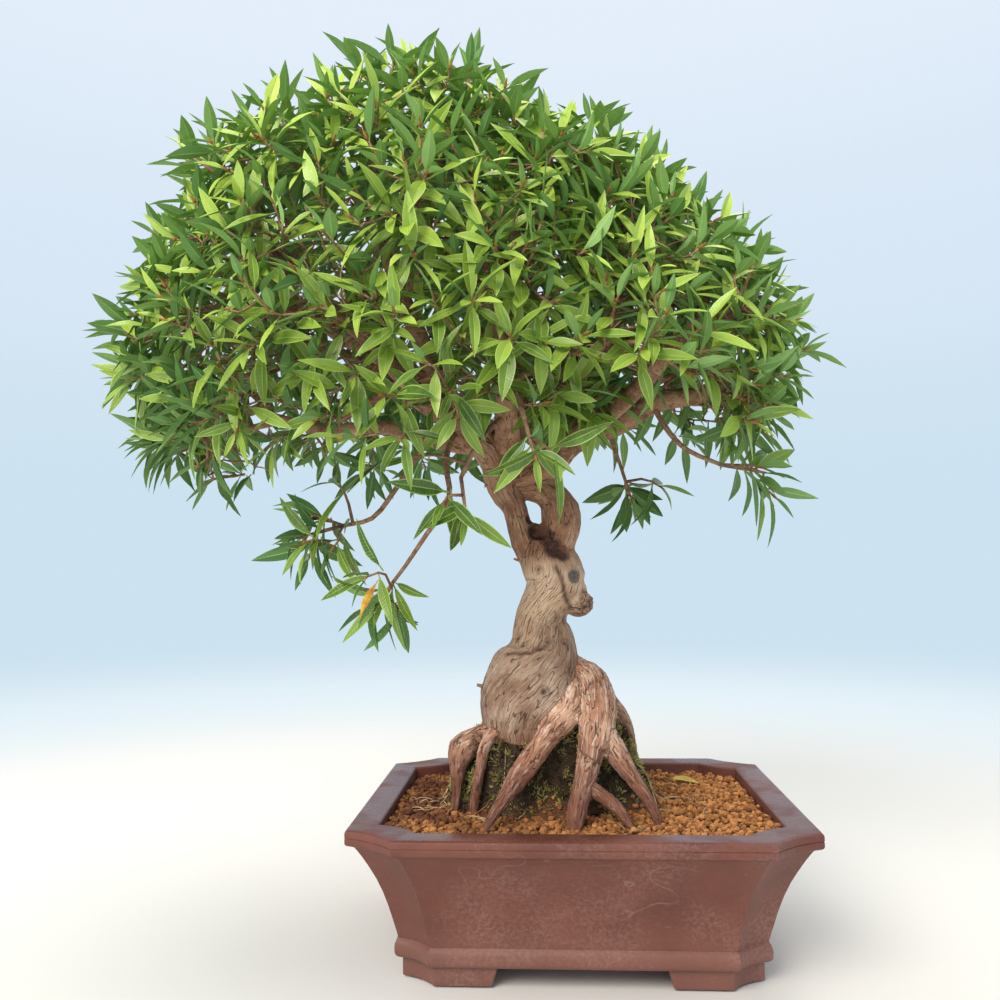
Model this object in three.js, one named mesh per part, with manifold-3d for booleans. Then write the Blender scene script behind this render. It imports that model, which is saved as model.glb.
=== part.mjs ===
// A willow leaf fig bonsai that stands in an unglazed clay pot with cut corners.
// Millimetres, +Z up. The pot is worked out round its own middle, and the group is
// moved at the end so that the origin lies under the middle of the whole tree.

import * as THREE from 'three';
import { mergeVertices } from 'three/addons/utils/BufferGeometryUtils.js';
import Module from 'manifold-3d';

const wasm = await Module();
wasm.setup();

// Clearance between pieces that touch, clearance along a sloping wall, and how far solids
// that are joined or cut run into each other
const gap = 0.3;
const wallGap = 0.42;
const sink = 1;

// Pot
const potWidth = 300;
const potDepth = 240;
const potHeight = 100;
const footHeight = 12;
const footReach = 117;
const footRing = 24;
const footGapLong = 107;
const footGapShort = 84;
const footSlope = 4;
const floorTop = 22;
const rimInner = 130;
const soilEdge = 91;
const cornerCutRim = [33.7, 22.9];
const cornerCutFoot = [22.2, 15.4];
const cornerHollow = 4.5;
const cornerSteps = 3;
const drainDiameter = 22;
const drainSpacing = 110;
const meshSize = 36;
const meshThickness = 1.2;
const meshHole = 12;
const meshPitch = 16;

// The pot's outer and inner faces as [reach from the middle, height]
const potOuter = [
  [117, footHeight], [120.5, 14], [121.5, 17], [121.5, 21], [120.4, 23.6], [119.4, 25],
  [122.3, 36], [128.2, 56], [136.2, 74], [143.6, 87], [148.6, 90], [150, 91.5],
  [150, 98.5], [148.8, potHeight], [131.4, potHeight], [rimInner, 98.6],
];
const potInner = [[rimInner, 88], [126, 74], [118, 56], [112.3, 36], [107, floorTop]];

// Soil: level at the front and back edge, and the steep old root ball that rises from it,
// with where its wall starts and ends as shares of its spread
const soilFront = 96.5;
const soilBack = 91.5;
const moundMiddle = [-20, 2];
const moundHeight = 54;
const moundSpread = [70, 50];
const moundWall = [0.7, 1.16];
const soilRings = [0.96, 0.78, 0.6, 0.44, 0.22];
const soilLongSteps = 4;
const soilShortSteps = 2;
const soilRipple = 1.2;

// Trunk, roots and limbs as [x, y, z, radius] along each
const trunk = [
  [-24, 0, 120, 25], [-28, -1, 136, 32], [-32, -3, 153, 36], [-32, -3, 171, 38],
  [-28, -2, 189, 34.5], [-24, 0, 202, 27], [-24, 1, 213, 22.6], [-25.5, 2, 225, 18.8],
  [-20.4, 1, 240, 17.6], [-13.8, 0, 256, 22.5], [-19.5, 0, 272, 21], [-23, 0, 287, 14],
];
const strands = [
  [[-24, 1, 262, 13], [-34, 1, 282, 12], [-40, -1, 296, 9], [-44, -2, 309, 9.3],
    [-50, -2, 320, 11.5], [-53, 0, 334, 14.5], [-49, 0, 348, 15]],
  [[-14, 0, 264, 15], [-11, -1, 281, 12.4], [-9, -2, 295, 14.6], [-9.5, -1, 307, 14.5],
    [-16, 1, 318, 11.5], [-28, 3, 324, 10], [-43, 2, 327, 11.5], [-52, 0, 334, 13]],
];
const burls = [[3, -1, 237.5, 11], [-3, 0, 248, 12]];
const roots = {
  frontLeft: [[-3, -20, 176, 10], [-4, -33, 166, 9], [-19, -42, 150, 8.5],
    [-39, -58, 127, 7.5], [-48, -68, 115, 5.5], [-59, -82, 101, 3.4], [-66, -91, 86, 2.4]],
  frontPillar: [[0, -2, 190, 10], [12, -18, 182, 12], [14.5, -32, 169, 13],
    [13.5, -44, 153, 12.5], [11, -50, 141, 11]],
  frontHeel: [[10, -47, 147, 9.5], [6.4, -54, 132, 8], [2.6, -62, 120, 7.2],
    [-1.8, -71, 105, 6.6], [-5, -78, 88, 5]],
  frontToe: [[16, -45, 152, 10], [24, -48, 141, 8], [31, -51, 131, 6.4],
    [39, -56, 120, 5], [48, -61, 107, 4], [55, -66, 90, 3]],
  frontThin: [[5, -60, 120, 5.5], [20, -68, 111, 4.6], [31, -76, 101, 3.4], [39, -82, 87, 2.4]],
  right: [[-6, 0, 181, 12], [14, 6, 171, 10], [27, 11, 161, 7.6], [35, 15, 151, 6.2],
    [40, 18, 136, 5.4], [43, 22, 120, 4.8], [49, 27, 103, 4], [54, 31, 86, 3.2]],
  leftKnob: [[-50, -6, 150, 9], [-71, -18, 143, 9.6], [-81, -23, 136, 10.6],
    [-84, -27, 124, 7.6], [-85, -31, 108, 5], [-87, -34, 88, 3]],
  leftThin: [[-48, -18, 152, 5.4], [-63, -31, 143, 4.6], [-69, -38, 122, 3.8], [-73, -45, 88, 2.6]],
  back: [[-20, 24, 172, 11], [-15, 42, 151, 9], [-9, 58, 128, 7.2], [-1, 73, 108, 5.4],
    [6, 84, 86, 3.8]],
  backLeft: [[-42, 18, 168, 11], [-61, 35, 147, 8.6], [-75, 49, 124, 6.6],
    [-88, 61, 104, 4.8], [-96, 69, 86, 3.4]],
  backRight: [[0, 24, 172, 10], [17, 38, 151, 8.2], [30, 50, 128, 6.4], [43, 61, 105, 4.8],
    [50, 69, 86, 3.4]],
};
const limbs = {
  left: [[-50, 0, 336, 14], [-66, -4, 358, 13], [-88, -8, 373, 11], [-97, -12, 398, 9],
    [-114, -18, 440, 7], [-134, -16, 490, 5], [-150, -10, 530, 4]],
  farLeft: [[-74, -4, 358, 11], [-100, 3, 361, 9], [-142, 8, 372, 7.5], [-190, 10, 372, 6],
    [-230, 8, 382, 4.5]],
  leftRising: [[-97, -12, 398, 8], [-140, -20, 420, 6.4], [-190, -14, 452, 5.2],
    [-232, -6, 494, 4]],
  centre: [[-50, 0, 344, 13], [-47, 5, 372, 12], [-46, 8, 407, 10], [-51, 5, 452, 8],
    [-64, 2, 505, 6], [-78, 4, 556, 4]],
  right: [[-40, 0, 332, 12], [-20, 2, 340, 12.5], [1, 8, 360, 11], [37, 8, 373, 9],
    [62, 4, 387, 8], [97, 0, 392, 6.4], [124, 0, 408, 4.6]],
  rightRising: [[1, 8, 360, 9], [12, 18, 398, 8], [28, 22, 446, 6], [44, 18, 496, 4]],
  front: [[-48, 0, 350, 11], [-47, -38, 372, 8], [-46, -78, 396, 6], [-48, -112, 420, 4]],
  frontLeft: [[-88, -8, 373, 8], [-112, -46, 392, 6.4], [-136, -80, 416, 5], [-158, -104, 436, 4]],
  frontRight: [[1, 8, 360, 8], [28, -28, 376, 7], [52, -66, 394, 5.4], [70, -98, 414, 4]],
  back: [[-47, 5, 372, 9], [-42, 46, 396, 7], [-44, 88, 420, 5.2], [-48, 116, 444, 4]],
  backLeft: [[-88, -8, 373, 8], [-116, 36, 394, 6.6], [-146, 76, 416, 5], [-172, 100, 440, 4]],
  backRight: [[1, 8, 360, 8], [30, 44, 382, 6.8], [58, 80, 404, 5.2], [78, 106, 426, 4]],
};
const trunkSides = 10;
const strandSides = 8;
const rootSides = 5;
const limbSides = 5;

// Branches: how far behind the foot of its spray a branch looks for its limb, how early it
// bends to the spray's heading, and its radius at each end
const branchSides = 4;
const branchSetback = 55;
const branchBend = 0.45;
const branchStart = 4.2;
const branchTip = 2.2;
const branchesPerStretch = 4;

// Crown: its middle, its reach as seen from the front by angle in degrees, and its depth
const crownMiddle = [-79, 8, 430];
const crownOutline = [
  [-20, 262], [0, 280], [15, 262], [31, 236], [50, 234], [65, 226], [80, 238], [92, 250],
  [104, 262], [116, 264], [128, 276], [140, 300], [152, 292], [164, 284], [176, 290],
  [188, 292], [200, 272], [270, 150],
];
const crownDepth = 186;
const crownSpread = [290, crownDepth, 255];
const crownSprays = 40;
const crownSkirt = -0.42;
const goldenAngle = 137.508;

// Sprays that hang below the crown: the limb point each leaves, the points it passes
// and its own heading
const hangingStart = 4;
const hangingTwigs = [
  { path: [[-96, -6, 366], [-108, -24, 353], [-127, -30, 323], [-145, -30, 301], [-166, -30, 296]],
    heading: [-0.95, -0.1, -0.25] },
  { path: [[-86, -10, 366], [-90, -44, 340], [-87, -50, 312], [-102, -50, 290], [-117, -50, 268]],
    heading: [-0.6, -0.1, -0.8] },
  { path: [[60, 3, 386], [72, -6, 362], [84, -10, 349], [108, -10, 338]],
    heading: [0.95, -0.1, -0.2] },
  { path: [[-47, -40, 373], [-64, -66, 352], [-76, -76, 326]],
    heading: [0.15, -0.5, -0.85] },
  { path: [[-46, -78, 396], [-38, -102, 378], [-32, -112, 358]],
    heading: [0.2, -0.6, -0.75] },
  { path: [[12, 18, 398], [30, 48, 370], [40, 60, 346]],
    heading: [0.3, 0.3, -0.9] },
];

// Leafy sprays: a stem with one side shoot, and a whorl of leaves round the end of each
const firstSeed = 7004;
const seedStep = 13;
const sprayReach = 70;
const stemLength = 30;
const stemHalf = 1.6;
const whorlTilt = 35;
const sideShootPlace = 0.4;
const sideShootLean = 56;
const sideShootLength = [24.3, 33.8];
const sideShootHalf = 1.1;
const sideShootTries = 8;
const sideShootTurn = 40;
const hubRadius = 1.9;
const hubHalf = 1.2;
const notchHalf = 0.9;

// Leaves. A lean is measured from the whorl's axis, as its mean and what it varies by on
// the way round. A leaf that has no room tries again, turned and raised a little.
const leavesInWhorl = 5;
const fewestLeaves = 2;
const leafLength = [37.8, 48.2];
const leafWidth = 8.6;
const leafWidest = 0.42;
const leafThickness = 1.2;
const leafTipThickness = 0.7;
const leafFold = 1.2;
const leafSag = 0.1;
const leafLean = [60, 17];
const leafLeanDraw = 14;
const leafLeanLeast = 36;
const leafTurnDraw = 0.3;
const leafClear = 0.35;
const leafTries = 9;
const leafTryTurn = 3;
const leafTryLean = 6;
const leafTwistShare = 0.8;
const leafTwistLimit = 38;

const clay = new THREE.MeshStandardMaterial({ color: 0x85554b, roughness: 0.6, metalness: 0 });
const earth = new THREE.MeshStandardMaterial({ color: 0xa5733c, roughness: 0.95, metalness: 0 });
const bark = new THREE.MeshStandardMaterial({ color: 0xae9272, roughness: 0.85, metalness: 0 });
const leaf = new THREE.MeshStandardMaterial({ color: 0x4f8a34, roughness: 0.45, metalness: 0 });
const netting = new THREE.MeshStandardMaterial({ color: 0x2c2f2c, roughness: 0.6, metalness: 0 });

const up = new THREE.Vector3(0, 0, 1);

function vector(place) {
  return new THREE.Vector3(place[0], place[1], place[2]);
}

function radians(degrees) {
  return THREE.MathUtils.degToRad(degrees);
}

// A draw between 0 and 1 that is the same on every run
function seededDraw(seed) {
  let state = seed;
  return () => {
    state = (state * 1664525 + 1013904223) % 4294967296;
    return state / 4294967296;
  };
}

// Closed geometry to solid, and back
function toSolid(geometry) {
  const bare = geometry.clone();
  bare.deleteAttribute('normal');
  bare.deleteAttribute('uv');
  const merged = mergeVertices(bare, 1e-4);
  const corners = merged.index.array;
  const triangles = [];
  for (let first = 0; first < corners.length; first += 3) {
    const [a, b, c] = [corners[first], corners[first + 1], corners[first + 2]];
    if (a !== b && b !== c && c !== a) triangles.push(a, b, c);
  }
  return new wasm.Manifold(new wasm.Mesh({
    numProp: 3,
    vertProperties: Float32Array.from(merged.attributes.position.array),
    triVerts: Uint32Array.from(triangles),
  }));
}

function toGeometry(solid) {
  const mesh = solid.getMesh();
  const geometry = new THREE.BufferGeometry();
  geometry.setAttribute('position', new THREE.BufferAttribute(mesh.vertProperties, 3));
  geometry.setIndex(new THREE.BufferAttribute(mesh.triVerts, 1));
  geometry.computeVertexNormals();
  return geometry;
}

function joined(solids) {
  return solids.reduce((whole, next) => whole.add(next));
}

function largestPart(solid) {
  const parts = solid.decompose();
  return parts.reduce((best, part) => (part.volume() > best.volume() ? part : best));
}

function overlaps(one, other) {
  const a = one.boundingBox();
  const b = other.boundingBox();
  for (let axis = 0; axis < 3; axis += 1) {
    if (a.min[axis] > b.max[axis] || b.min[axis] > a.max[axis]) return false;
  }
  return one.intersect(other).volume() > 0;
}

function block(width, depth, height, middle) {
  const box = new THREE.BoxGeometry(width, depth, height);
  box.translate(middle[0], middle[1], middle[2]);
  return toSolid(box);
}

// The pot's outline at one reach: straight sides joined by shallow hollow corners
function outlineAt(reach, longSteps, shortSteps) {
  const halfWidth = reach;
  const halfDepth = reach - (potWidth - potDepth) / 2;
  const share = (reach - footReach) / (potWidth / 2 - footReach);
  const cutX = THREE.MathUtils.lerp(cornerCutFoot[0], cornerCutRim[0], share);
  const cutY = THREE.MathUtils.lerp(cornerCutFoot[1], cornerCutRim[1], share);
  const path = new THREE.Path();
  const side = (from, to, steps) => {
    for (let step = 1; step <= steps; step += 1) {
      const part = step / steps;
      path.lineTo(from[0] + (to[0] - from[0]) * part, from[1] + (to[1] - from[1]) * part);
    }
  };
  const corner = (signX, signY, to) => {
    const pull = 1 - cornerHollow / Math.hypot(cutX, cutY);
    const middleX = signX * (halfWidth - cutX / 2 - cornerHollow * pull);
    const middleY = signY * (halfDepth - cutY / 2 - cornerHollow * pull);
    path.quadraticCurveTo(middleX, middleY, to[0], to[1]);
  };
  const [x0, x1] = [halfWidth - cutX, halfWidth];
  const [y0, y1] = [halfDepth - cutY, halfDepth];
  path.moveTo(-x0, -y1);
  side([-x0, -y1], [x0, -y1], longSteps);
  corner(1, -1, [x1, -y0]);
  side([x1, -y0], [x1, y0], shortSteps);
  corner(1, 1, [x0, y1]);
  side([x0, y1], [-x0, y1], longSteps);
  corner(-1, 1, [-x1, y0]);
  side([-x1, y0], [-x1, -y0], shortSteps);
  corner(-1, -1, [-x0, -y1]);
  return path.getPoints(cornerSteps).slice(0, -1);
}

// A lathe whose round rings are laid on the pot's outline. A row is [reach, height, share],
// and the share draws the row in towards the middle.
function potLathe(rows, longSteps, shortSteps, relief) {
  const outlines = rows.map(([reach]) => outlineAt(reach, longSteps, shortSteps));
  const count = outlines[0].length;
  const profile = rows.map(([reach, height]) => new THREE.Vector2(reach, height));
  const lathe = new THREE.LatheGeometry(profile, count);
  const place = lathe.attributes.position;
  for (let step = 0; step <= count; step += 1) {
    rows.forEach(([, height, share], row) => {
      const spot = outlines[row][step % count];
      const x = spot.x * share;
      const y = spot.y * share;
      const z = relief ? relief(x, y, height, share) : height;
      place.setXYZ(step * rows.length + row, x, y, z);
    });
  }
  return toSolid(lathe);
}

function drainPlaces() {
  return [-drainSpacing / 2, drainSpacing / 2];
}

function makeFeet() {
  const ring = new THREE.Shape(outlineAt(footReach, 1, 1));
  ring.holes.push(new THREE.Path(outlineAt(footReach - footRing, 1, 1)));
  const feet = new THREE.ExtrudeGeometry(ring, { depth: footHeight + sink, bevelEnabled: false });
  const channel = (gapWidth, length) => {
    const half = gapWidth / 2;
    const shape = new THREE.Shape();
    shape.moveTo(-half - footSlope, -sink);
    shape.lineTo(half + footSlope, -sink);
    shape.lineTo(half, footHeight + 2 * sink);
    shape.lineTo(-half, footHeight + 2 * sink);
    const bar = new THREE.ExtrudeGeometry(shape, { depth: length, bevelEnabled: false });
    bar.translate(0, 0, -length / 2);
    bar.rotateX(Math.PI / 2);
    return bar;
  };
  const frontToBack = channel(footGapLong, potDepth);
  const sideToSide = channel(footGapShort, potWidth);
  sideToSide.rotateZ(Math.PI / 2);
  return toSolid(feet).subtract(toSolid(frontToBack)).subtract(toSolid(sideToSide));
}

function makePot() {
  const rows = [[footReach, footHeight, 0]];
  potOuter.forEach(([reach, height]) => rows.push([reach, height, 1]));
  potInner.forEach(([reach, height]) => rows.push([reach, height, 1]));
  rows.push([potInner.at(-1)[0], floorTop, 0]);
  let pot = potLathe(rows, 1, 1, null).add(makeFeet());
  drainPlaces().forEach((x) => {
    const drain = new THREE.CylinderGeometry(drainDiameter / 2, drainDiameter / 2, potHeight, 16);
    drain.rotateX(Math.PI / 2);
    drain.translate(x, 0, 0);
    pot = pot.subtract(toSolid(drain));
  });
  return pot;
}

// A square of plastic mesh that keeps the soil in over a drain hole
function makeDrainMesh(x) {
  const middle = floorTop + gap + meshThickness / 2;
  let plate = block(meshSize, meshSize, meshThickness, [x, 0, middle]);
  for (const column of [-0.5, 0.5]) {
    for (const row of [-0.5, 0.5]) {
      const place = [x + column * meshPitch, row * meshPitch, middle];
      plate = plate.subtract(block(meshHole, meshHole, 2 * meshThickness, place));
    }
  }
  return plate;
}

// Height of the soil: level in the pot, raised in a mound by the old root ball
function soilHeight(x, y) {
  const level = THREE.MathUtils.mapLinear(y, -potDepth / 2, potDepth / 2, soilFront, soilBack);
  const across = (x - moundMiddle[0]) / moundSpread[0];
  const along = (y - moundMiddle[1]) / moundSpread[1];
  const wall = THREE.MathUtils.smoothstep(Math.hypot(across, along), moundWall[0], moundWall[1]);
  const mound = moundHeight * (1 - wall);
  const ripple = soilRipple * Math.sin(x * 0.21 + y * 0.13) * Math.cos(y * 0.19 - x * 0.07);
  return level + mound + ripple;
}

function makeSoil(woodInSoil) {
  const rows = [[potInner.at(-1)[0] - gap, floorTop + gap, 0]];
  [...potInner].reverse().forEach(([reach, height]) => {
    rows.push([reach - wallGap, Math.max(height, floorTop + gap), 1]);
  });
  rows.push([rimInner - wallGap, soilEdge, 1]);
  soilRings.forEach((share) => rows.push([rimInner - gap, potHeight, share]));
  rows.push([rimInner - gap, potHeight, 0]);
  const topRow = potHeight;
  const relief = (x, y, height) => (height === topRow ? soilHeight(x, y) : height);
  let soil = potLathe(rows, soilLongSteps, soilShortSteps, relief);
  drainPlaces().forEach((x) => {
    const room = meshSize + 2 * gap;
    const height = meshThickness + 3 * gap;
    soil = soil.subtract(block(room, room, 2 * height, [x, 0, floorTop]));
  });
  return largestPart(soil.subtract(woodInSoil));
}

// A cylinder bent along a curve through [x, y, z, radius] points, with flat ends. The far
// end is square to `ending`, where that is given.
function bentTube(points, sides, grow = 0, ending = null) {
  const curve = new THREE.CatmullRomCurve3(points.map(vector), false, 'centripetal');
  const steps = points.length - 1;
  const tube = new THREE.CylinderGeometry(1, 1, 1, sides, steps);
  const frames = [];
  let normal = new THREE.Vector3(0.31, 0.87, 0.38);
  for (let step = 0; step <= steps; step += 1) {
    const share = step / steps;
    const along = step === steps && ending ? ending : curve.getTangent(share);
    normal = normal.clone().addScaledVector(along, -normal.dot(along)).normalize();
    const middle = vector(points[step]);
    if (step === 0) middle.addScaledVector(along, -grow);
    if (step === steps) middle.addScaledVector(along, grow);
    frames.push({ middle, across: along.clone().cross(normal), normal, radius: points[step][3] + grow });
  }
  const place = tube.attributes.position;
  for (let index = 0; index < place.count; index += 1) {
    const frame = frames[Math.round((place.getY(index) + 0.5) * steps)];
    const spot = frame.middle.clone();
    spot.addScaledVector(frame.across, place.getX(index) * frame.radius);
    spot.addScaledVector(frame.normal, place.getZ(index) * frame.radius);
    place.setXYZ(index, spot.x, spot.y, spot.z);
  }
  return toSolid(tube);
}

function ball(place, grow = 0) {
  const lump = new THREE.IcosahedronGeometry(place[3] + grow, 1);
  lump.translate(place[0], place[1], place[2]);
  return toSolid(lump);
}

// The part of the wood that stands in the soil, and with it the trunk above
function makeTrunkAndRoots(grow) {
  const solids = [bentTube(trunk, trunkSides, grow)];
  strands.forEach((strand) => solids.push(bentTube(strand, strandSides, grow)));
  burls.forEach((place) => solids.push(ball(place, grow)));
  Object.values(roots).forEach((root) => solids.push(bentTube(root, rootSides, grow)));
  return joined(solids);
}

// How far the crown reaches from its middle in one direction
function crownReach(direction) {
  const flat = Math.hypot(direction.x, direction.z);
  let angle = THREE.MathUtils.radToDeg(Math.atan2(direction.z, direction.x));
  if (angle < crownOutline[0][0]) angle += 360;
  let next = 1;
  while (next < crownOutline.length - 1 && crownOutline[next][0] < angle) next += 1;
  const [before, after] = [crownOutline[next - 1], crownOutline[next]];
  const share = THREE.MathUtils.clamp((angle - before[0]) / (after[0] - before[0]), 0, 1);
  const front = THREE.MathUtils.lerp(before[1], after[1], share);
  return 1 / Math.hypot(flat / front, direction.y / crownDepth);
}

// Where each spray of the crown grows from, evenly over the dome, outer end first
function crownPlaces() {
  const places = [];
  for (let count = 0; count < crownSprays; count += 1) {
    const height = 1 - ((count + 0.5) / crownSprays) * (1 - crownSkirt);
    const turn = radians(count * goldenAngle);
    const flat = Math.sqrt(1 - height * height);
    const direction = new THREE.Vector3(Math.cos(turn) * flat, Math.sin(turn) * flat, height);
    direction.multiply(vector(crownSpread)).normalize();
    const base = vector(crownMiddle).addScaledVector(direction, crownReach(direction) - sprayReach);
    places.push({ base, heading: direction });
  }
  return places;
}

// Points along the limbs that a branch can leave from
function limbSpots() {
  const spots = [];
  Object.values(limbs).forEach((limb) => {
    const curve = new THREE.CatmullRomCurve3(limb.map(vector), false, 'centripetal');
    const steps = (limb.length - 1) * branchesPerStretch;
    for (let step = branchesPerStretch; step <= steps; step += 1) {
      const reach = (step / steps) * (limb.length - 1);
      const before = Math.min(Math.floor(reach), limb.length - 2);
      const radius = THREE.MathUtils.lerp(limb[before][3], limb[before + 1][3], reach - before);
      spots.push({ place: curve.getPoint(step / steps), radius });
    }
  });
  return spots;
}

// A branch from the nearest limb to the foot of a spray, arriving along its heading
function branchTo(place, spots) {
  const behind = place.base.clone().addScaledVector(place.heading, -branchSetback);
  const from = spots.reduce((best, spot) => (
    spot.place.distanceTo(behind) < best.place.distanceTo(behind) ? spot : best));
  const length = from.place.distanceTo(place.base);
  const bend = place.base.clone().addScaledVector(place.heading, -branchBend * length);
  const curve = new THREE.QuadraticBezierCurve3(from.place, bend, place.base);
  const start = Math.min(from.radius * 0.85, branchStart);
  return [0, 0.5, 1].map((share) => {
    const spot = curve.getPoint(share);
    return [spot.x, spot.y, spot.z, THREE.MathUtils.lerp(start, branchTip, share)];
  });
}

function hangingPath(twig) {
  const last = twig.path.length - 1;
  return twig.path.map((spot, index) => (
    [...spot, THREE.MathUtils.lerp(hangingStart, branchTip, index / last)]));
}

// Heading that leans away from an axis by an angle, at a turn round it
function leaning(axis, turn, lean) {
  const side = Math.abs(axis.z) < 0.9 ? up.clone() : new THREE.Vector3(0, 1, 0);
  side.addScaledVector(axis, -side.dot(axis)).normalize();
  side.applyAxisAngle(axis, turn);
  return axis.clone().multiplyScalar(Math.cos(lean)).addScaledVector(side, Math.sin(lean));
}

// Room that one leaf takes, from near the hub to its tip, with the clearance it keeps
function leafRoom(hub, arm, rootHalf) {
  const room = new THREE.SphereGeometry(1, 4, 3);
  const rings = [
    { share: 0.07, half: 0, thick: 0 },
    { share: 0.13, half: rootHalf, thick: hubHalf },
    { share: leafWidest, half: leafWidth / 2 + leafClear, thick: leafThickness / 2 + leafClear },
    { share: 1 + leafClear / arm.length, half: 0, thick: 0 },
  ];
  const place = room.attributes.position;
  for (let index = 0; index < place.count; index += 1) {
    const polar = Math.acos(THREE.MathUtils.clamp(place.getY(index), -1, 1)) / Math.PI;
    const ring = rings[Math.round((1 - polar) * (rings.length - 1))];
    const [x, z] = [place.getX(index), place.getZ(index)];
    const round = Math.max(Math.hypot(x, z), 1e-6);
    const spot = hub.clone().addScaledVector(arm.heading, ring.share * arm.length);
    spot.addScaledVector(arm.across, (-x / round) * ring.half);
    spot.addScaledVector(arm.face, (z / round) * ring.thick);
    if (ring.share === leafWidest) spot.addScaledVector(arm.face, Math.abs(x / round) * leafFold);
    if (ring.share > 1) spot.z -= leafSag * arm.length;
    place.setXYZ(index, spot.x, spot.y, spot.z);
  }
  return toSolid(room);
}

// An arm of a whorl: its heading from the hub, its face and the way across it
function armAt(frame, turn, lean, length) {
  const side = frame.first.clone().multiplyScalar(Math.cos(turn));
  side.addScaledVector(frame.second, Math.sin(turn));
  const heading = frame.axis.clone().multiplyScalar(Math.cos(lean));
  heading.addScaledVector(side, Math.sin(lean));
  const face = frame.axis.clone().multiplyScalar(Math.sin(lean));
  face.addScaledVector(side, -Math.cos(lean));
  return { turn, lean, heading, face, across: face.clone().cross(heading), length };
}

// A leaf turns its face towards the sky as far as its stalk lets it
function facedUp(arm) {
  const sky = up.clone().addScaledVector(arm.heading, -arm.heading.z);
  if (sky.length() < 0.2) return arm;
  let twist = Math.atan2(sky.dot(arm.across), sky.dot(arm.face));
  if (Math.abs(twist) > Math.PI / 2) twist -= Math.sign(twist) * Math.PI;
  const limit = radians(leafTwistLimit);
  twist = THREE.MathUtils.clamp(twist * leafTwistShare, -limit, limit);
  const face = arm.face.clone().multiplyScalar(Math.cos(twist));
  face.addScaledVector(arm.across, Math.sin(twist));
  return { ...arm, face, across: face.clone().cross(arm.heading) };
}

// The frame of a whorl: its axis, and the side on which its stalk comes in
function whorlFrame(hub, axis, stalkFoot) {
  const stalk = stalkFoot.clone().sub(hub);
  const first = stalk.clone().addScaledVector(axis, -stalk.dot(axis)).normalize();
  return { axis, first, second: axis.clone().cross(first), stalk };
}

// A whorl on its stalk: a flat drum whose rim is drawn out, four corners to an arm, into
// the stalk and the leaves. Between two arms the rim stays at the hub, and leans as the
// leaves beside it do.
function makeWhorl(hub, frame, leaves, stalkHalf) {
  const stalkLean = frame.axis.angleTo(frame.stalk);
  const arms = [armAt(frame, 0, stalkLean, frame.stalk.length()), ...leaves];
  const sectors = 4 * arms.length;
  const drum = new THREE.CylinderGeometry(1, 1, 1, sectors, 1);
  const place = drum.attributes.position;
  for (let index = 0; index < place.count; index += 1) {
    const [x, z] = [place.getX(index), place.getZ(index)];
    const level = Math.sign(place.getY(index));
    const spot = hub.clone();
    if (Math.hypot(x, z) < 0.5) {
      spot.addScaledVector(frame.axis, level * hubHalf);
    } else {
      const sector = Math.round((Math.atan2(x, z) / (2 * Math.PI)) * sectors);
      const corner = (sector + sectors + 1) % sectors;
      const count = Math.floor(corner / 4) % arms.length;
      const arm = arms[count];
      const role = (corner % 4) - 1;
      if (role === 2) {
        const next = arms[(count + 1) % arms.length];
        const nextTurn = next === arms[0] ? 2 * Math.PI : next.turn;
        const leans = [arm, next].filter((one) => one !== arms[0]).map((one) => one.lean);
        const lean = (Math.min(...leans) + Math.max(...leans)) / 2;
        const notch = armAt(frame, (arm.turn + nextTurn) / 2, lean, 0);
        spot.addScaledVector(notch.heading, hubRadius);
        spot.addScaledVector(frame.axis, level * notchHalf);
      } else if (count === 0) {
        spot.addScaledVector(arm.heading, arm.length);
        spot.addScaledVector(arm.across, role * stalkHalf);
        spot.addScaledVector(arm.face, level * stalkHalf);
      } else if (role === 0) {
        spot.addScaledVector(arm.heading, arm.length);
        spot.addScaledVector(arm.face, (level * leafTipThickness) / 2);
        spot.z -= leafSag * arm.length;
      } else {
        spot.addScaledVector(arm.heading, arm.length * leafWidest);
        spot.addScaledVector(arm.across, (role * leafWidth) / 2);
        spot.addScaledVector(arm.face, (level * leafThickness) / 2 + leafFold);
      }
    }
    place.setXYZ(index, spot.x, spot.y, spot.z);
  }
  return toSolid(drum);
}

// The leaves of one whorl that keep clear of what is already there
function clearLeaves(hub, frame, draw, obstacles) {
  const leaves = [];
  const rooms = [];
  const slims = [];
  const share = (2 * Math.PI) / (leavesInWhorl + 1);
  for (let number = 1; number <= leavesInWhorl; number += 1) {
    const place = number + leafTurnDraw * (draw() - 0.5);
    const raise = leafLeanDraw * (draw() - 0.5);
    const length = THREE.MathUtils.lerp(leafLength[0], leafLength[1], draw());
    for (let attempt = 0; attempt < leafTries; attempt += 1) {
      const shift = (attempt % 2 ? 1 : -1) * Math.ceil(attempt / 2);
      const turn = share * place + radians(leafTryTurn * shift);
      const mean = leafLean[0] + leafLean[1] * Math.cos(turn);
      const lean = radians(Math.max(mean + raise - leafTryLean * shift, leafLeanLeast));
      const arm = facedUp(armAt(frame, turn, lean, length));
      const slim = leafRoom(hub, arm, leafClear);
      if (slims.some((other) => overlaps(slim, other))) continue;
      const room = leafRoom(hub, arm, hubRadius);
      if (obstacles.some((other) => overlaps(room, other))) continue;
      leaves.push(arm);
      slims.push(slim);
      rooms.push(room);
      break;
    }
  }
  return { leaves, rooms };
}

// A whorl's axis: its shoot's heading, tilted towards the sky, or anywhere on a steep shoot
function tilted(heading, draw) {
  const towards = Math.abs(heading.z) < 0.8
    ? up.clone()
    : new THREE.Vector3(draw() - 0.5, draw() - 0.5, 0);
  towards.addScaledVector(heading, -towards.dot(heading)).normalize();
  const tilt = radians(whorlTilt);
  return heading.clone().multiplyScalar(Math.cos(tilt)).addScaledVector(towards, Math.sin(tilt));
}

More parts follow.
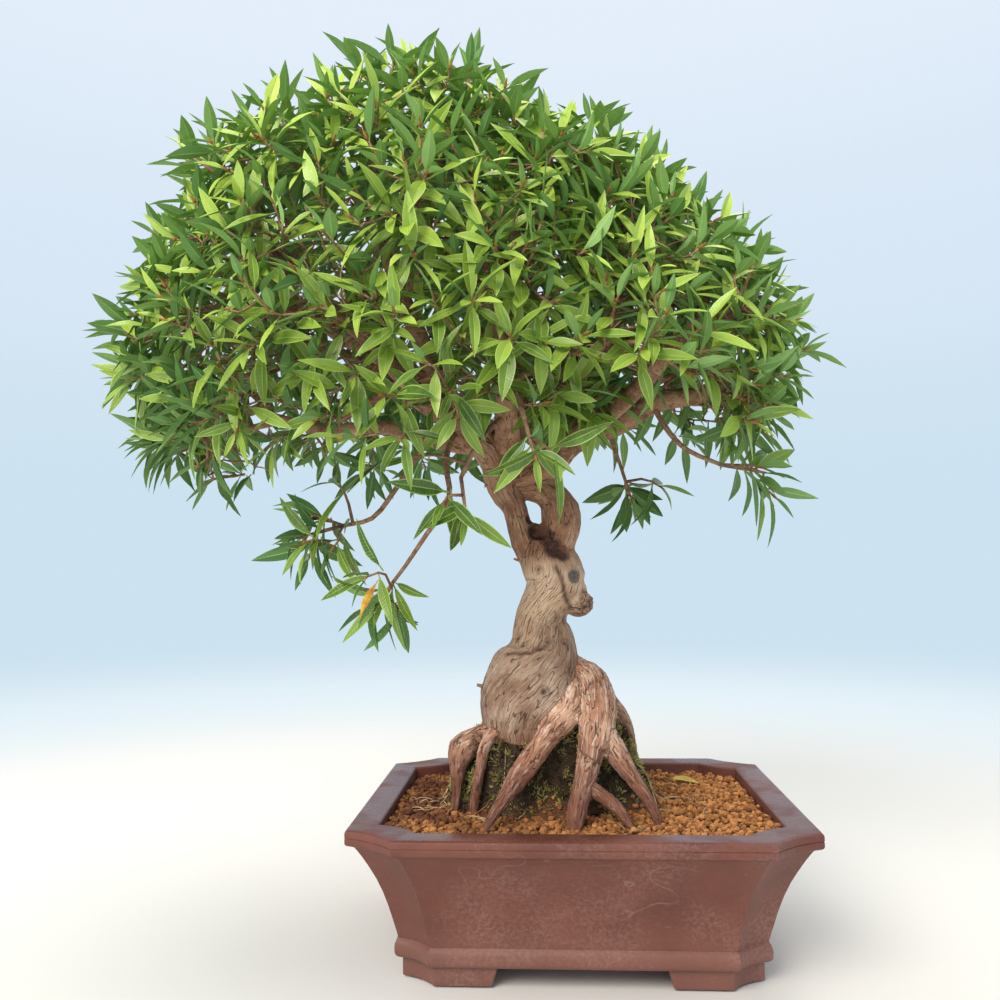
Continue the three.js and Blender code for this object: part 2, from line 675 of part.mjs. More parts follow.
// One leafy spray, kept clear of the wood and of the sprays already made
function makeSpray(place, seed, others) {
  const draw = seededDraw(seed);
  const foot = place.base.clone().addScaledVector(place.heading, gap);
  const top = foot.clone().addScaledVector(place.heading, stemLength);
  const topFrame = whorlFrame(top, tilted(place.heading, draw), foot);
  const { leaves, rooms } = clearLeaves(top, topFrame, draw, others);
  const stem = makeWhorl(top, topFrame, leaves, stemHalf);
  const taken = [...others, ...rooms];
  const from = foot.clone().lerp(top, sideShootPlace);
  const firstTurn = draw() * 360;
  const length = THREE.MathUtils.lerp(sideShootLength[0], sideShootLength[1], draw());
  for (let attempt = 0; attempt < sideShootTries; attempt += 1) {
    const turn = radians(firstTurn + sideShootTurn * attempt);
    const heading = leaning(place.heading, turn, radians(sideShootLean));
    const hub = from.clone().addScaledVector(heading, length);
    const frame = whorlFrame(hub, tilted(heading, draw), from);
    const bare = makeWhorl(hub, frame, [armAt(frame, Math.PI, 1.2, 6)], sideShootHalf + leafClear);
    if (taken.some((other) => overlaps(bare, other))) continue;
    const side = clearLeaves(hub, frame, draw, [...taken, stem]);
    if (side.leaves.length < fewestLeaves) continue;
    return stem.add(makeWhorl(hub, frame, side.leaves, sideShootHalf));
  }
  return stem;
}

const group = new THREE.Group();

function addNode(name, solid, material) {
  const mesh = new THREE.Mesh(toGeometry(solid), material);
  mesh.name = name;
  group.add(mesh);
}

const places = crownPlaces();
hangingTwigs.forEach((twig) => {
  places.push({ base: vector(twig.path.at(-1)), heading: vector(twig.heading).normalize(), hanging: twig });
});
const spots = limbSpots();
const branches = places.map((place) => (
  place.hanging ? hangingPath(place.hanging) : branchTo(place, spots)));

const wood = joined([
  makeTrunkAndRoots(0),
  ...Object.values(limbs).map((limb) => bentTube(limb, limbSides)),
  ...branches.map((branch, index) => bentTube(branch, branchSides, 0, places[index].heading)),
]);

addNode('pot', makePot(), clay);
addNode('drain_mesh_left', makeDrainMesh(-drainSpacing / 2), netting);
addNode('drain_mesh_right', makeDrainMesh(drainSpacing / 2), netting);
addNode('soil', makeSoil(makeTrunkAndRoots(gap)), earth);
addNode('trunk_and_branches', wood, bark);

const finished = [wood];
places.forEach((place, index) => {
  const spray = makeSpray(place, firstSeed + seedStep * index, finished);
  finished.push(spray);
  addNode(`leaf_spray_${String(index + 1).padStart(2, '0')}`, spray, leaf);
});

// The origin lies on the ground under the middle of the whole
const extent = new THREE.Box3().setFromObject(group);
const middle = extent.getCenter(new THREE.Vector3());
group.position.set(-middle.x, -middle.y, -extent.min.z);

export default group;
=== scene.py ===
import math
import random

import bmesh
import bpy
import numpy as np
from mathutils import Matrix, Vector, noise


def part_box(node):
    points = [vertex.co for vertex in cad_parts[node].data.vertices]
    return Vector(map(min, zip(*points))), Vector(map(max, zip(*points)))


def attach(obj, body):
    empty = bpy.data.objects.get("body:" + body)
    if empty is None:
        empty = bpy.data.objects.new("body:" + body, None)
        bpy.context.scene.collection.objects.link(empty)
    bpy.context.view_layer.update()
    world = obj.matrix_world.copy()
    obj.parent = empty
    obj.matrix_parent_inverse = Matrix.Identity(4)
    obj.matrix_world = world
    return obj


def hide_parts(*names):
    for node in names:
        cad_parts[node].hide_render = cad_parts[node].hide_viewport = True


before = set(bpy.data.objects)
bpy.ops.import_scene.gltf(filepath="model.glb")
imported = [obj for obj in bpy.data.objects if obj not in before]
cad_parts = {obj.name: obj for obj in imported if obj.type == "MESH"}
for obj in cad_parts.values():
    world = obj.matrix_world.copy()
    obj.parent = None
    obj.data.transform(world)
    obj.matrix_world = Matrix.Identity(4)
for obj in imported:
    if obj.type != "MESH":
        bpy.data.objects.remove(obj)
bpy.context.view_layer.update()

# Lengths here are millimetres, measured from the middle of the pot on the ground, with X to
# the right, Y away from the viewer and Z up. The frame is in metres.
MM = 0.001
pot_low, pot_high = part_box("pot")
POT_MIDDLE = Vector(((pot_low.x + pot_high.x) / 2, (pot_low.y + pot_high.y) / 2, 0))
TO_FRAME = Matrix.Translation(POT_MIDDLE) @ Matrix.Scale(MM, 4)
UP = Vector((0, 0, 1))

# The way that the first ring of each tube is turned to, and how far a round end goes on and
# how thin it gets, as shares of the last radius
FIRST_ACROSS = Vector((0.31, 0.87, 0.38))
ROUND_END = (0.7, 0.45)

# Lengths below SHORTEST count as none. TURN is about a full turn in radians. Things that are
# set a golden angle apart round an axis spread evenly.
SHORTEST = 1e-4
TURN = 6.28
GOLDEN_ANGLE = math.radians(137.508)

# Pot. A reach is half the width of its outline at one height.
POT_WIDTH = 300
POT_DEPTH = 240
POT_HEIGHT = 100
FLOOR_TOP = 22
RIM_INNER = 130

# The feet: a ring's outer reach and width, the channels that part it and their sloped sides,
# how far a foot goes up into the belt and the easing of its edges
FOOT_HEIGHT = 12
FOOT_REACH = 117
FOOT_RING = 24
FOOT_GAP_LONG = 107
FOOT_GAP_SHORT = 84
FOOT_SLOPE = 4
CHANNEL_SIDES = (FOOT_GAP_LONG / 2 + FOOT_SLOPE, FOOT_GAP_SHORT / 2 + FOOT_SLOPE)
FOOT_OVERLAP = 0.6
FOOT_EASE = 1.1
ON_PLANE = 0.1

# The cut corners, whose two sizes are along the long and the short sides
CORNER_CUT_RIM = (33.7, 22.9)
CORNER_CUT_FOOT = (22.2, 15.4)
CORNER_HOLLOW = 4.5
CORNER_STEPS = 8
CORNERS = ((1, -1), (1, 1), (-1, 1), (-1, -1))
CORNER_MARGIN = 5

# The drain holes, the steps along the pot's sides, and the angle that shades as an edge
DRAIN_RADIUS = 11
DRAIN_SPACING = 110
DRAIN_STEPS = 32
SIDE_STEP = 40
SHARP_ANGLE = math.radians(32)

# The pot's outer face, its rim and its inner face as (reach, height)
BELT = [(117, 12), (119.4, 12.6), (121, 14), (121.7, 16), (121.8, 19), (121.6, 21.4),
        (120.8, 23.2), (119.8, 24.2), (119.3, 24.8)]
FLARE = [(119.9, 27), (122.3, 36), (125, 46), (128.2, 56), (132, 65.5), (136.2, 74),
         (140, 81), (143, 86), (144.4, 88), (145.9, 89.1)]
RIM = [(148.4, 89.8), (149.5, 90.5), (150, 91.7), (150, 94.5), (149.6, 94.9), (150, 95.3),
       (150, 98), (149.5, 99.3), (148.4, 100), (147.2, 100.2), (140, 100), (132.4, 100),
       (131, 99.7), (130.2, 98.8), (130, 97.4)]
INSIDE = [(130, 88), (126, 74), (118, 56), (112.3, 36), (107, 22)]

# Soil: its level, and the mound of the old root ball, whose wall and moss end at shares of
# its spread
SOIL_FRONT = 96.5
SOIL_BACK = 91.5
SOIL_RIPPLE = 1.2
MOUND_MIDDLE = (-20, 2)
MOUND_HEIGHT = 54
MOUND_SPREAD = (70, 50)
MOUND_WALL = (0.7, 1.16)
MOSS_EDGE = 1.13
MOSS_FADE = 9
MOSS_REACH = (-1.3, 1.3)
SLOPE_STEP = 1.5

# The noises that make these uneven, as (scale, height): the moss's edge, the bed's crumbs and
# tone, and the tufts' tone
MOSS_PATCHES = (0.07, 0.8)
CRUMBS_COARSE = (0.22, 1.1)
CRUMBS_FINE = (0.6, 0.8)
BED_PATCHES = (0.3, 0.4)
TUFT_PATCHES = (0.13, 2.0)

# The bed under the loose grains: its gaps to the pot's wall and floor, how far it is below
# the soil's level, the height where its edge starts to rise, and its rings and their step
WALL_GAP = 0.42
GAP = 0.3
BED_DEPTH = 1.0
BED_EDGE = 90
BED_RINGS = 40
BED_STEP = 5

# Loose grains, whose shake and lift are shares of the spacing and of the radius, and whose
# lumps and roughness are noises as above
GRAIN_SEED = 41
GRAIN_SHAPES = 8
GRAIN_SIZE = 1.08
GRAIN_SQUARENESS = 0.35
GRAIN_LUMPS = (1.3, 0.42)
GRAIN_ROUGHNESS = (3.1, 0.24)
GRAIN_SQUASH = ((0.85, 1.2), (0.8, 1.1), (0.65, 0.95))
GRAIN_SPACING = 3.5
GRAIN_SHAKE = (-0.45, 0.45)
GRAIN_RADIUS = (1.3, 2.6)
GRAIN_LIFT = (-0.5, 0.75)
GRAIN_SINK = 0.3
GRAIN_MARGIN = 2.2

# Moss tufts, likelier the steeper the soil is
MOSS_SEED = 58
TUFT_COUNT = 2900
TUFT_SHAPES = 6
TUFT_LEAFLETS = 6
TUFT_LEAN = (0.1, 1.2)
TUFT_RISE = 0.3
TUFT_JITTER = 0.25
TUFT_SIZE = (2.6, 6.4)
TUFT_DEPTH = (0.4, 1.6)
TUFT_STEEPEST = 4.5
TUFT_TONE = 0.4
TUFT_VARIETY = 0.25
LEAFLET_LENGTH = (0.6, 1)
LEAFLET_FOOT = 0.16

# Dry rootlets and straw: the middle of each bed, its spread, count, lengths and paleness
ROOTLET_SEED = 12
ROOTLET_RADIUS = (0.3, 0.6)
ROOTLET_STEPS = 5
ROOTLET_LIFT = 1.8
ROOTLET_ARCH = (0.0, 0.16)
ROOTLET_BEND = 0.22
ROOTLET_MARGIN = 3
ROOTLET_END_MARGIN = 1.5
ROOTLET_THINNEST = 0.5
ROOTLET_SIDES = 4
ROOTLET_MOSSIEST = 0.1
ROOTLET_VARIETY = 0.2
ROOTLET_BEDS = [
    ((-104, -14), (7, 14), 20, (5, 15), 0.6),
    ((-66, -52), (12, 9), 6, (12, 26), 0.5),
    ((60, -14), (14, 15), 10, (14, 36), 0.75),
    ((20, -76), (18, 5), 3, (10, 20), 0.5),
    ((70, 20), (10, 22), 8, (10, 24), 0.45),
    ((0, 0), (80, 62), 16, (6, 16), 0.6),
]

# Wood as (x, y, z, radius) along each stretch
TRUNK = [
    (-24, 0, 120, 25), (-28, -1, 136, 32), (-32, -3, 153, 36), (-32, -3, 171, 38),
    (-28, -2, 189, 34.5), (-24, 0, 202, 27), (-24, 1, 213, 22.6), (-25.5, 2, 225, 18.8),
    (-20.4, 1, 240, 17.6), (-13.8, 0, 256, 22.5), (-19.5, 0, 272, 21), (-23, 0, 287, 14),
]
STRANDS = [
    [(-24, 1, 262, 13), (-34, 1, 282, 12), (-40, -1, 296, 9), (-44, -2, 309, 9.3),
     (-50, -2, 320, 11.5), (-53, 0, 334, 14.5), (-49, 0, 348, 15)],
    [(-14, 0, 264, 15), (-11, -1, 281, 12.4), (-9, -2, 295, 14.6), (-9.5, -1, 307, 14.5),
     (-16, 1, 318, 11.5), (-28, 3, 324, 10), (-43, 2, 327, 11.5), (-52, 0, 334, 13)],
]
ROOTS = {
    "front_left": [(-3, -20, 176, 10), (-4, -33, 166, 9), (-19, -42, 150, 8.5),
                   (-39, -58, 127, 7.5), (-48, -68, 115, 5.5), (-59, -82, 101, 3.4),
                   (-66, -91, 86, 2.4)],
    "front_pillar": [(0, -2, 190, 10), (12, -18, 182, 12), (14.5, -32, 169, 13),
                     (13.5, -44, 153, 12.5), (11, -50, 141, 11)],
    "front_heel": [(10, -47, 147, 9.5), (6.4, -54, 132, 8), (2.6, -62, 120, 7.2),
                   (-1.8, -71, 105, 6.6), (-5, -78, 88, 5)],
    "front_toe": [(16, -45, 152, 10), (24, -48, 141, 8), (31, -51, 131, 6.4),
                  (39, -56, 120, 5), (48, -61, 107, 4), (55, -66, 90, 3)],
    "front_thin": [(5, -60, 120, 5.5), (20, -68, 111, 4.6), (31, -76, 101, 3.4), (39, -82, 87, 2.4)],
    "right": [(-6, 0, 181, 12), (14, 6, 171, 10), (27, 11, 161, 7.6), (35, 15, 151, 6.2),
              (40, 18, 136, 5.4), (43, 22, 120, 4.8), (49, 27, 103, 4), (54, 31, 86, 3.2)],
    "left_knob": [(-50, -6, 150, 8.6), (-71, -18, 143, 8.2), (-81, -23, 136, 10.6),
                  (-84, -27, 124, 6), (-85, -31, 108, 3.8), (-87, -34, 88, 2.6)],
    "left_thin": [(-48, -18, 152, 5.4), (-63, -31, 143, 4.6), (-69, -38, 122, 3.8),
                  (-73, -45, 88, 2.6)],
    "back": [(-20, 24, 172, 11), (-15, 42, 151, 9), (-9, 58, 128, 7.2), (-1, 73, 108, 5.4),
             (6, 84, 86, 3.8)],
    "back_left": [(-42, 18, 168, 11), (-61, 35, 147, 8.6), (-75, 49, 124, 6.6),
                  (-88, 61, 104, 4.8), (-96, 69, 86, 3.4)],
    "back_right": [(0, 24, 172, 10), (17, 38, 151, 8.2), (30, 50, 128, 6.4), (43, 61, 105, 4.8),
                   (50, 69, 86, 3.4)],
}
LIMBS = {
    "left": [(-50, 0, 336, 14), (-66, -4, 358, 13), (-88, -8, 373, 11), (-97, -12, 398, 9),
             (-114, -18, 440, 7), (-134, -16, 490, 5), (-150, -10, 530, 4)],
    "far_left": [(-74, -4, 358, 10), (-100, 3, 361, 7.2), (-142, 8, 372, 5.4), (-190, 10, 372, 4.4),
                 (-230, 8, 382, 3.4)],
    "left_rising": [(-97, -12, 398, 8), (-140, -20, 420, 6.4), (-190, -14, 452, 5.2),
                    (-232, -6, 494, 4)],
    "centre": [(-50, 0, 344, 13), (-47, 5, 372, 12), (-46, 8, 407, 10), (-51, 5, 452, 8),
               (-64, 2, 505, 6), (-78, 4, 556, 4)],
    "right": [(-40, 0, 332, 12), (-20, 2, 340, 12.5), (1, 8, 360, 11), (37, 8, 373, 9),
              (62, 4, 387, 8), (97, 0, 392, 6.4), (124, 0, 408, 4.6)],
    "right_rising": [(1, 8, 360, 9), (12, 18, 398, 8), (28, 22, 446, 6), (44, 18, 496, 4)],
    "front": [(-48, 0, 350, 11), (-47, -38, 372, 8), (-46, -78, 396, 6), (-48, -112, 420, 4)],
    "front_left": [(-88, -8, 373, 8), (-112, -46, 392, 6.4), (-136, -80, 416, 5),
                   (-158, -104, 436, 4)],
    "front_right": [(1, 8, 360, 8), (28, -28, 376, 7), (52, -66, 394, 5.4), (70, -98, 414, 4)],
    "back": [(-47, 5, 372, 9), (-42, 46, 396, 7), (-44, 88, 420, 5.2), (-48, 116, 444, 4)],
    "back_left": [(-88, -8, 373, 8), (-116, 36, 394, 6.6), (-146, 76, 416, 5), (-172, 100, 440, 4)],
    "back_right": [(1, 8, 360, 8), (30, 44, 382, 6.8), (58, 80, 404, 5.2), (78, 106, 426, 4)],
}

# The trunk piece holds each limb up to a point, where it is thinned to go inside the branch
LIMB_START = 2
STUB_TAPER = 0.8
LIMB_STEP = 9
LIMB_SIDES = 10

# Swellings of the trunk as (x, y, z, radius, and its height and depth as shares of that)
LUMPS = [(3, -1, 237.5, 11.5, 0.85, 0.9), (-3, 0, 248, 12.5, 0.9, 0.9),
         (-31, -8, 168, 37, 0.92, 0.95), (-72, 6, 140, 6, 1, 1), (-28, 0, 288, 9, 1, 0.9)]

# The trunk's tubes, the skin that joins them, and how the bark's grain runs along it
TUBE_STEP = 6
TUBE_SIDES = 24
SKIN_VOXEL = 1.36
SKIN_SMOOTHING = 5
SIGHT_WIDTH = 1.6
FLOW_STEP = 5
FLOW_STRETCH = 0.2
FLOW_APART = 90
BULB_TWIST = 0.018

# Marks on the trunk as (x, y, z, size), each moved along the camera's line to the bark. A
# crease runs through the places of one row.
KNOTS = [(-22, -38, 179.8, 3.4), (-41.2, -38, 216.5, 2.9), (-37.7, -38, 211.6, 2.1),
         (-20.2, -38, 214.3, 2.3), (-6.3, -38, 212.2, 2.5), (-29, -22, 290, 3.2), (-4, -22, 296, 2.6),
         (-50, -22, 326, 3.0), (-26, -22, 262, 2.4), (-12, -22, 228, 2.2)]
HOLLOWS = [(-14, -14, 280, 9), (-6.5, -14, 276, 7.5), (-19.5, -14, 287, 7.5), (-26, -14, 291, 7.5),
           (-31, -14, 299.9, 4.5)]
SCARS = [(0.3, -22, 256.9, 5.6)]
BURLS = [(11.4, -22, 239, 9), (6.3, -22, 232.7, 9), (8, -22, 246, 6), (-72, 0, 141, 6)]
CREASES = [
    [(-50, -22, 204), (-41, -22, 204.2), (-32.6, -22, 205.1), (-26, -22, 207.2), (-21.8, -22, 209.4)],
    [(-13.5, -22, 266), (-9, -22, 258.4), (-6.5, -22, 250), (-5.5, -22, 242), (-4.5, -22, 235.4),
     (-6.9, -22, 226.3)],
]
CREASE_WIDTH = 1.7

# Broken twigs as (x, y, z, radius, length)
STUBS = [(-66.7, -38, 182.6, 1.5, 4.5), (-41.5, -14, 269.4, 1.1, 4), (-32.3, -14, 243.2, 0.9, 3.4),
         (-40, -14, 232, 0.6, 3)]
STUB_HEADING = Vector((-0.9, -0.25, 0.3)).normalized()

# Branches from the limbs to the foot of each spray. One leaves from the limb nearest to the
# setback behind the foot, and bends by a share of its length.
BRANCH_SETBACK = 55
BRANCH_BEND = 0.45
BRANCH_STEPS = 8
BRANCH_SIDES = 7
BRANCH_START = 3.6
BRANCH_TIP = 1.8
BRANCHES_PER_STRETCH = 4

# Crown: its middle, its reach seen from the front by angle in degrees, and its depth
CROWN_MIDDLE = Vector((-79, 8, 430))
CROWN_OUTLINE = [
    (-20, 262), (0, 280), (15, 262), (31, 236), (50, 234), (65, 226), (80, 238), (92, 250),
    (104, 262), (116, 264), (128, 276), (140, 300), (152, 292), (164, 284), (176, 290),
    (188, 292), (200, 272), (270, 150),
]
CROWN_DEPTH = 186
CROWN_SPREAD = (290, 186, 255)

# Its sprays: how many there are, how low they head, how far their feet are inside its face,
# and the length of their stems
CROWN_SPRAYS = 40
CROWN_SKIRT = -0.42
SPRAY_REACH = 70
STEM_LENGTH = 30

# Sprays that hang below the crown: the points each twig passes and its own heading
HANGING = [
    ([(-96, -6, 366), (-108, -24, 353), (-127, -30, 323), (-145, -30, 301), (-166, -30, 296)],
     (-0.95, -0.1, -0.25)),
    ([(-86, -10, 366), (-90, -44, 340), (-87, -50, 312), (-102, -50, 290), (-117, -50, 268)],
     (-0.6, -0.1, -0.8)),
    ([(60, 3, 386), (72, -6, 362), (84, -10, 349), (108, -10, 338)], (0.95, -0.1, -0.2)),
    ([(-47, -40, 373), (-64, -66, 352), (-76, -76, 326)], (0.15, -0.5, -0.85)),
    ([(-46, -78, 396), (-38, -102, 378), (-32, -112, 358)], (0.2, -0.6, -0.75)),
    ([(12, 18, 398), (30, 48, 370), (40, 60, 346)], (0.3, 0.3, -0.9)),
]

# Their radii, the number of shoots on each, and how far out and apart those are
HANGING_START = 2.4
HANGING_END = 1.5
HANGING_TIPS = [6, 4, 3, 2, 1, 3]
HANGING_REACH = (16, 44)
HANGING_JITTER = 0.55
HANGING_VIGOUR = 0.9

# Leafy shoots: how many tips a layer of the crown has, how far below its face they sit, how
# far down it goes and its vigour, for the outside and then for the shade further in. A lower
# vigour also darkens the leaves' tone as painted shade.
TIP_LAYERS = [(720, (14, 46), -0.42, 1.0), (150, (60, 105), -0.2, 0.6)]
TIP_RISE = (0.0, 0.55)
TIP_PLACE_JITTER = 0.035
TIP_LEAN_JITTER = 0.16
EDGE_TRIM = (11, 23)
LOW_BARE_HEIGHT = -0.12
LOW_BARE_SHARE = 0.15

# Twigs of the shoots, whose bend is a share of their length
STEM_RADII = (1.4, 1.0)
TWIG_START = (1.1, 2.2)
TWIG_TIP = 0.8
TWIG_BEND = 0.42
TWIG_STEP = 11
TWIG_SHORTEST = 14
TWIG_SIDES = 5

# Bare twigs on the sprays that head no higher than a limit, held inside the crown's face
BARE_TWIGS = 9
BARE_FORKS = 3
BARE_STEPS = 6
BARE_HIGHEST = 0.4
BARE_LENGTH = (38, 80)
BARE_RADIUS = (0.95, 0.45)
BARE_INSET = 42

# Leaves: their size, the shares of their length where the stalk ends and the blade is
# widest, and how each shape folds, droops, sweeps aside, twists and waves
LEAF_LENGTH = (31, 43)
LEAF_WIDTH = (8.0, 12.0)
LEAF_STALK = 0.12
LEAF_WIDEST = 0.47
STALK_WIDTH = 0.13
LEAF_THICKNESS = 0.6
LEAF_STATIONS = 8
LEAF_SHAPES = 14
LEAF_BENDS = ((0.1, 0.42), (0.02, 0.34), (-0.07, 0.07), (-0.4, 0.4), (0.0, 0.012))
LEAF_EDGE_ANGLE = 0.36

# The leaves of a shoot: their number, their lean off the twig in degrees from the youngest to
# the oldest, and the step from one to the next
FOLIAGE_SEED = 77
LEAF_COUNT = (5.2, 8.2)
LEAF_LEAN = (26, 82)
LEAF_STEP = (1.6, 4.2)
BUD_LENGTH = (5, 8.5)

# What the crown and the hanging sprays make of them, as (share of the number, droop, size),
# how much droop the oldest adds, and the sizes of the youngest and the next
CROWN_LEAVES = (1, 0.08, 1)
HANGING_LEAVES = (0.75, 0.22, 1.12)
OLDEST_DROOP = 0.1
YOUNGEST_SIZE = 0.62
YOUNG_SIZE = 0.86

# How far each is off its turn in radians, its lean in degrees and its face
TURN_SHAKE = (-0.25, 0.25)
LEAN_SHAKE = (-9, 9)
FACE_JITTER = 0.22

# Their tone and youth, from the height where the crown is dark to where it is bright. Higher
# leaves are younger and lighter, the lighter tone being painted light, and lower ones darker with
# painted shade. Each millimetre to the right counts as a share of one of height, which paints
# light on the right. The shade has narrow leaves only.
LEAF_TONE = (0.22, 0.58)
LEAF_DARK = 315
LEAF_BRIGHT = 530
LEAF_SUNNY = 0.8
LEAF_SHADE = 0.2
LEAF_VARIETY = 0.2
LEAF_YOUTH = (0.1, 1.2)
YOUTH_SHAKE = (0.4, 1.1)
YELLOW_SHARE = 0.0002

# Single leaves: foot, heading, face, length and how yellow
YELLOW_LEAF = ((-131.6, -77, 258), (-0.55, -0.1, -0.9), (-0.25, -1.0, 0.2), 30, 1.0)
FALLEN_LEAF = ((73, 56, 97.6), (1.0, 0.12, 0.03), (0.0, -0.6, 1.0), 27, 0.6)

# Studio, in metres: the floor's outline as (reach, height), the stretch in which its own glow
# takes over from the lamps, and its tint and the sky's
STUDIO_PROFILE = [(0, -0.001), (0.6, -0.001), (1.2, -0.001), (1.8, -0.001), (2.1, 0.02), (2.4, 0.14),
                  (2.6, 0.38), (2.7, 0.75), (2.72, 1.3), (2.72, 2.2), (2.72, 3.2)]
FLOOR_FADE = (0.55, 1.25)
FLOOR_TINT = (224, 221, 215)
FLOOR_STEPS = 96
BLACK = (0, 0, 0)
SKY_COLOUR = (0.86, 0.92, 1.0, 1)
SKY_STRENGTH = 0.5

# Lamps as (name, place in metres, size in metres, power in watts)
LAMPS = [("key", (-0.9, -1.5, 1.6), 1.5, 46), ("top", (0.2, 0.3, 2.6), 2.2, 40)]
LAMP_TARGET = Vector((-0.02, 0, 0.32))
LAMP_COLOUR = (1.0, 0.94, 0.85)

# Camera, as fitted to the pot's rim, belt and feet in the photograph
CAMERA_PLACE = (-16.5, -696.8, 272.5)
CAMERA_PITCH = math.radians(3.48)
CAMERA_YAW = math.radians(3.10)
CAMERA_ROLL = math.radians(-0.53)
CAMERA_LENS = 33.69
CAMERA_SENSOR = 36


def lerp(start, end, share):
    """The value a share of the way from start to end."""
    return start + (end - start) * share


def clamped(share):
    """The share, held within 0 and 1."""
    return min(max(share, 0), 1)


def eased(share):
    """A share from 0 to 1 with a soft start and end."""
    return share * share * (3 - 2 * share)


def uneven(place, scale, height):
    """Smooth noise at a place, with its scale in cells to the millimetre and its height."""
    return height * noise.noise(place * scale)


def place_in_row(count, share):
    """The stretch between count points that a share of the way is in, and how far along it."""
    reach = share * (count - 1)
    index = min(int(reach), count - 2)
    return index, reach - index


def bent_between(start, middle, end, steps):
    """A curve that leaves the start and reaches the end on the lines through the middle."""
    shares = [step / steps for step in range(steps + 1)]
    return [start.lerp(middle, share).lerp(middle.lerp(end, share), share) for share in shares]


def curve_point(points, share):
    """A point on the smooth curve through the points, a share of the way along them."""
    index, part = place_in_row(len(points), share)
    here, there = points[index], points[index + 1]
    before = points[index - 1] if index else 2 * here - there
    after = points[index + 2] if index + 2 < len(points) else 2 * there - here
    step_before, step, step_after = (max(math.sqrt(way.length), SHORTEST)
                                     for way in (here - before, there - here, after - there))
    leave = (here - before) / step_before - (there - before) / (step_before + step)
    leave = (leave + (there - here) / step) * step
    arrive = (there - here) / step - (after - here) / (step + step_after)
    arrive = (arrive + (after - there) / step_after) * step
    square = part * part
    cube = square * part
    return (here * (2 * cube - 3 * square + 1) + leave * (cube - 2 * square + part)
            + there * (3 * square - 2 * cube) + arrive * (cube - square))


def smooth_stretch(stretch, spacing):
    """Places and radii along a stretch of wood, evenly interpolated about a spacing apart."""
    points = [Vector(row[:3]) for row in stretch]
    length = sum((b - a).length for a, b in zip(points, points[1:]))
    steps = max(round(length / spacing), len(points))
    places = []
    radii = []
    for step in range(steps + 1):
        places.append(curve_point(points, step / steps))
        index, part = place_in_row(len(stretch), step / steps)
        radii.append(lerp(stretch[index][3], stretch[index + 1][3], 0.5 * (part + eased(part))))
    return places, radii


def ring_frames(places, radii):
    """A turned and scaled frame for each ring of a tube, turned as little as possible."""
    frames = []
    across = FIRST_ACROSS
    for index, place in enumerate(places):
        before = places[max(index - 1, 0)]
        after = places[min(index + 1, len(places) - 1)]
        along = (after - before).normalized()
        across = (across - along * across.dot(along)).normalized()
        frames.append(frame_at(place, across, along.cross(across), along, radii[index]))
    return frames


def frame_at(place, x_axis, y_axis, z_axis, size):
    """A matrix that turns to three axes, scales to a size and moves to a place."""
    turn = Matrix((x_axis, y_axis, z_axis)).transposed().to_4x4()
    return Matrix.Translation(place) @ turn @ Matrix.Scale(size, 4)


def upright_to(way):
    """The turn that lays +Z along a way."""
    return way.to_track_quat("Z", "Y").to_matrix().to_4x4()


def of_kind(items, kind):
    """Those of the items that are vertices, edges or faces."""
    return [item for item in items if isinstance(item, kind)]


def edges_of(verts):
    """The edges at some vertices, each once and in the same order in each run."""
    return list(dict.fromkeys(edge for vert in verts for edge in vert.link_edges))


def extrude_ring(bm, ring):
    """Extrudes a closed ring of edges. Returns the new vertices and the new ring."""
    grown = bmesh.ops.extrude_edge_only(bm, edges=ring)["geom"]
    verts = of_kind(grown, bmesh.types.BMVert)
    new = set(verts)
    ring = [edge for edge in of_kind(grown, bmesh.types.BMEdge)
            if edge.verts[0] in new and edge.verts[1] in new]
    return verts, ring


def smooth_below(bm, angle):
    """Smooth shading, but for the edges where the faces turn by an angle or more."""
    for face in bm.faces:
        face.smooth = True
    for edge in bm.edges:
        edge.smooth = edge.calc_face_angle(0) < angle


def layered_bmesh(*names):
    """An empty bmesh with named layers of one value at each vertex."""
    bm = bmesh.new()
    for name in names:
        bm.verts.layers.float.new(name)
    return bm


def set_values(bm, values):
    """Gives all vertices a value in each named layer."""
    for name, value in values.items():
        layer = bm.verts.layers.float.get(name) or bm.verts.layers.float.new(name)
        for vert in bm.verts:
            vert[layer] = value


def mesh_of(bm, name):
    """The mesh of a bmesh that isn't needed any more."""
    mesh = bpy.data.meshes.new(name)
    bm.to_mesh(mesh)
    bm.free()
    return mesh


def object_of(data, name):
    """A new object in the scene with a mesh, a lamp or a camera in it."""
    thing = bpy.data.objects.new(name, data)
    bpy.context.scene.collection.objects.link(thing)
    return thing


def add_tube(bm, places, radii, sides, round_end=False):
    """A closed tube through the places, swept ring by ring. Returns its vertices."""
    if round_end:
        last = places[-1] + (places[-1] - places[-2]).normalized() * radii[-1] * ROUND_END[0]
        places = [*places, last]
        radii = [*radii, radii[-1] * ROUND_END[1]]
    frames = ring_frames(places, radii)
    start = bmesh.ops.create_circle(
        bm, cap_ends=True, segments=sides, radius=1, matrix=frames[0])["verts"]
    made = list(start)
    ring = edges_of(start)
    bmesh.ops.reverse_faces(bm, faces=[start[0].link_faces[0]])
    for last_frame, next_frame in zip(frames, frames[1:]):
        verts, ring = extrude_ring(bm, ring)
        bmesh.ops.transform(bm, matrix=next_frame @ last_frame.inverted(), verts=verts)
        made.extend(verts)
    bmesh.ops.holes_fill(bm, edges=ring, sides=0)
    return made


def finish_mesh(name, mesh, material, slot, *nodes, smooth=True):
    """A finished piece from a mesh in the frame, which takes the place of the nodes."""
    if smooth:
        mesh.shade_smooth()
    mesh.materials.clear()
    mesh.materials.append(material)
    piece = object_of(mesh, name)
    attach(piece, "root")
    if nodes:
        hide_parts(*nodes)
    return piece


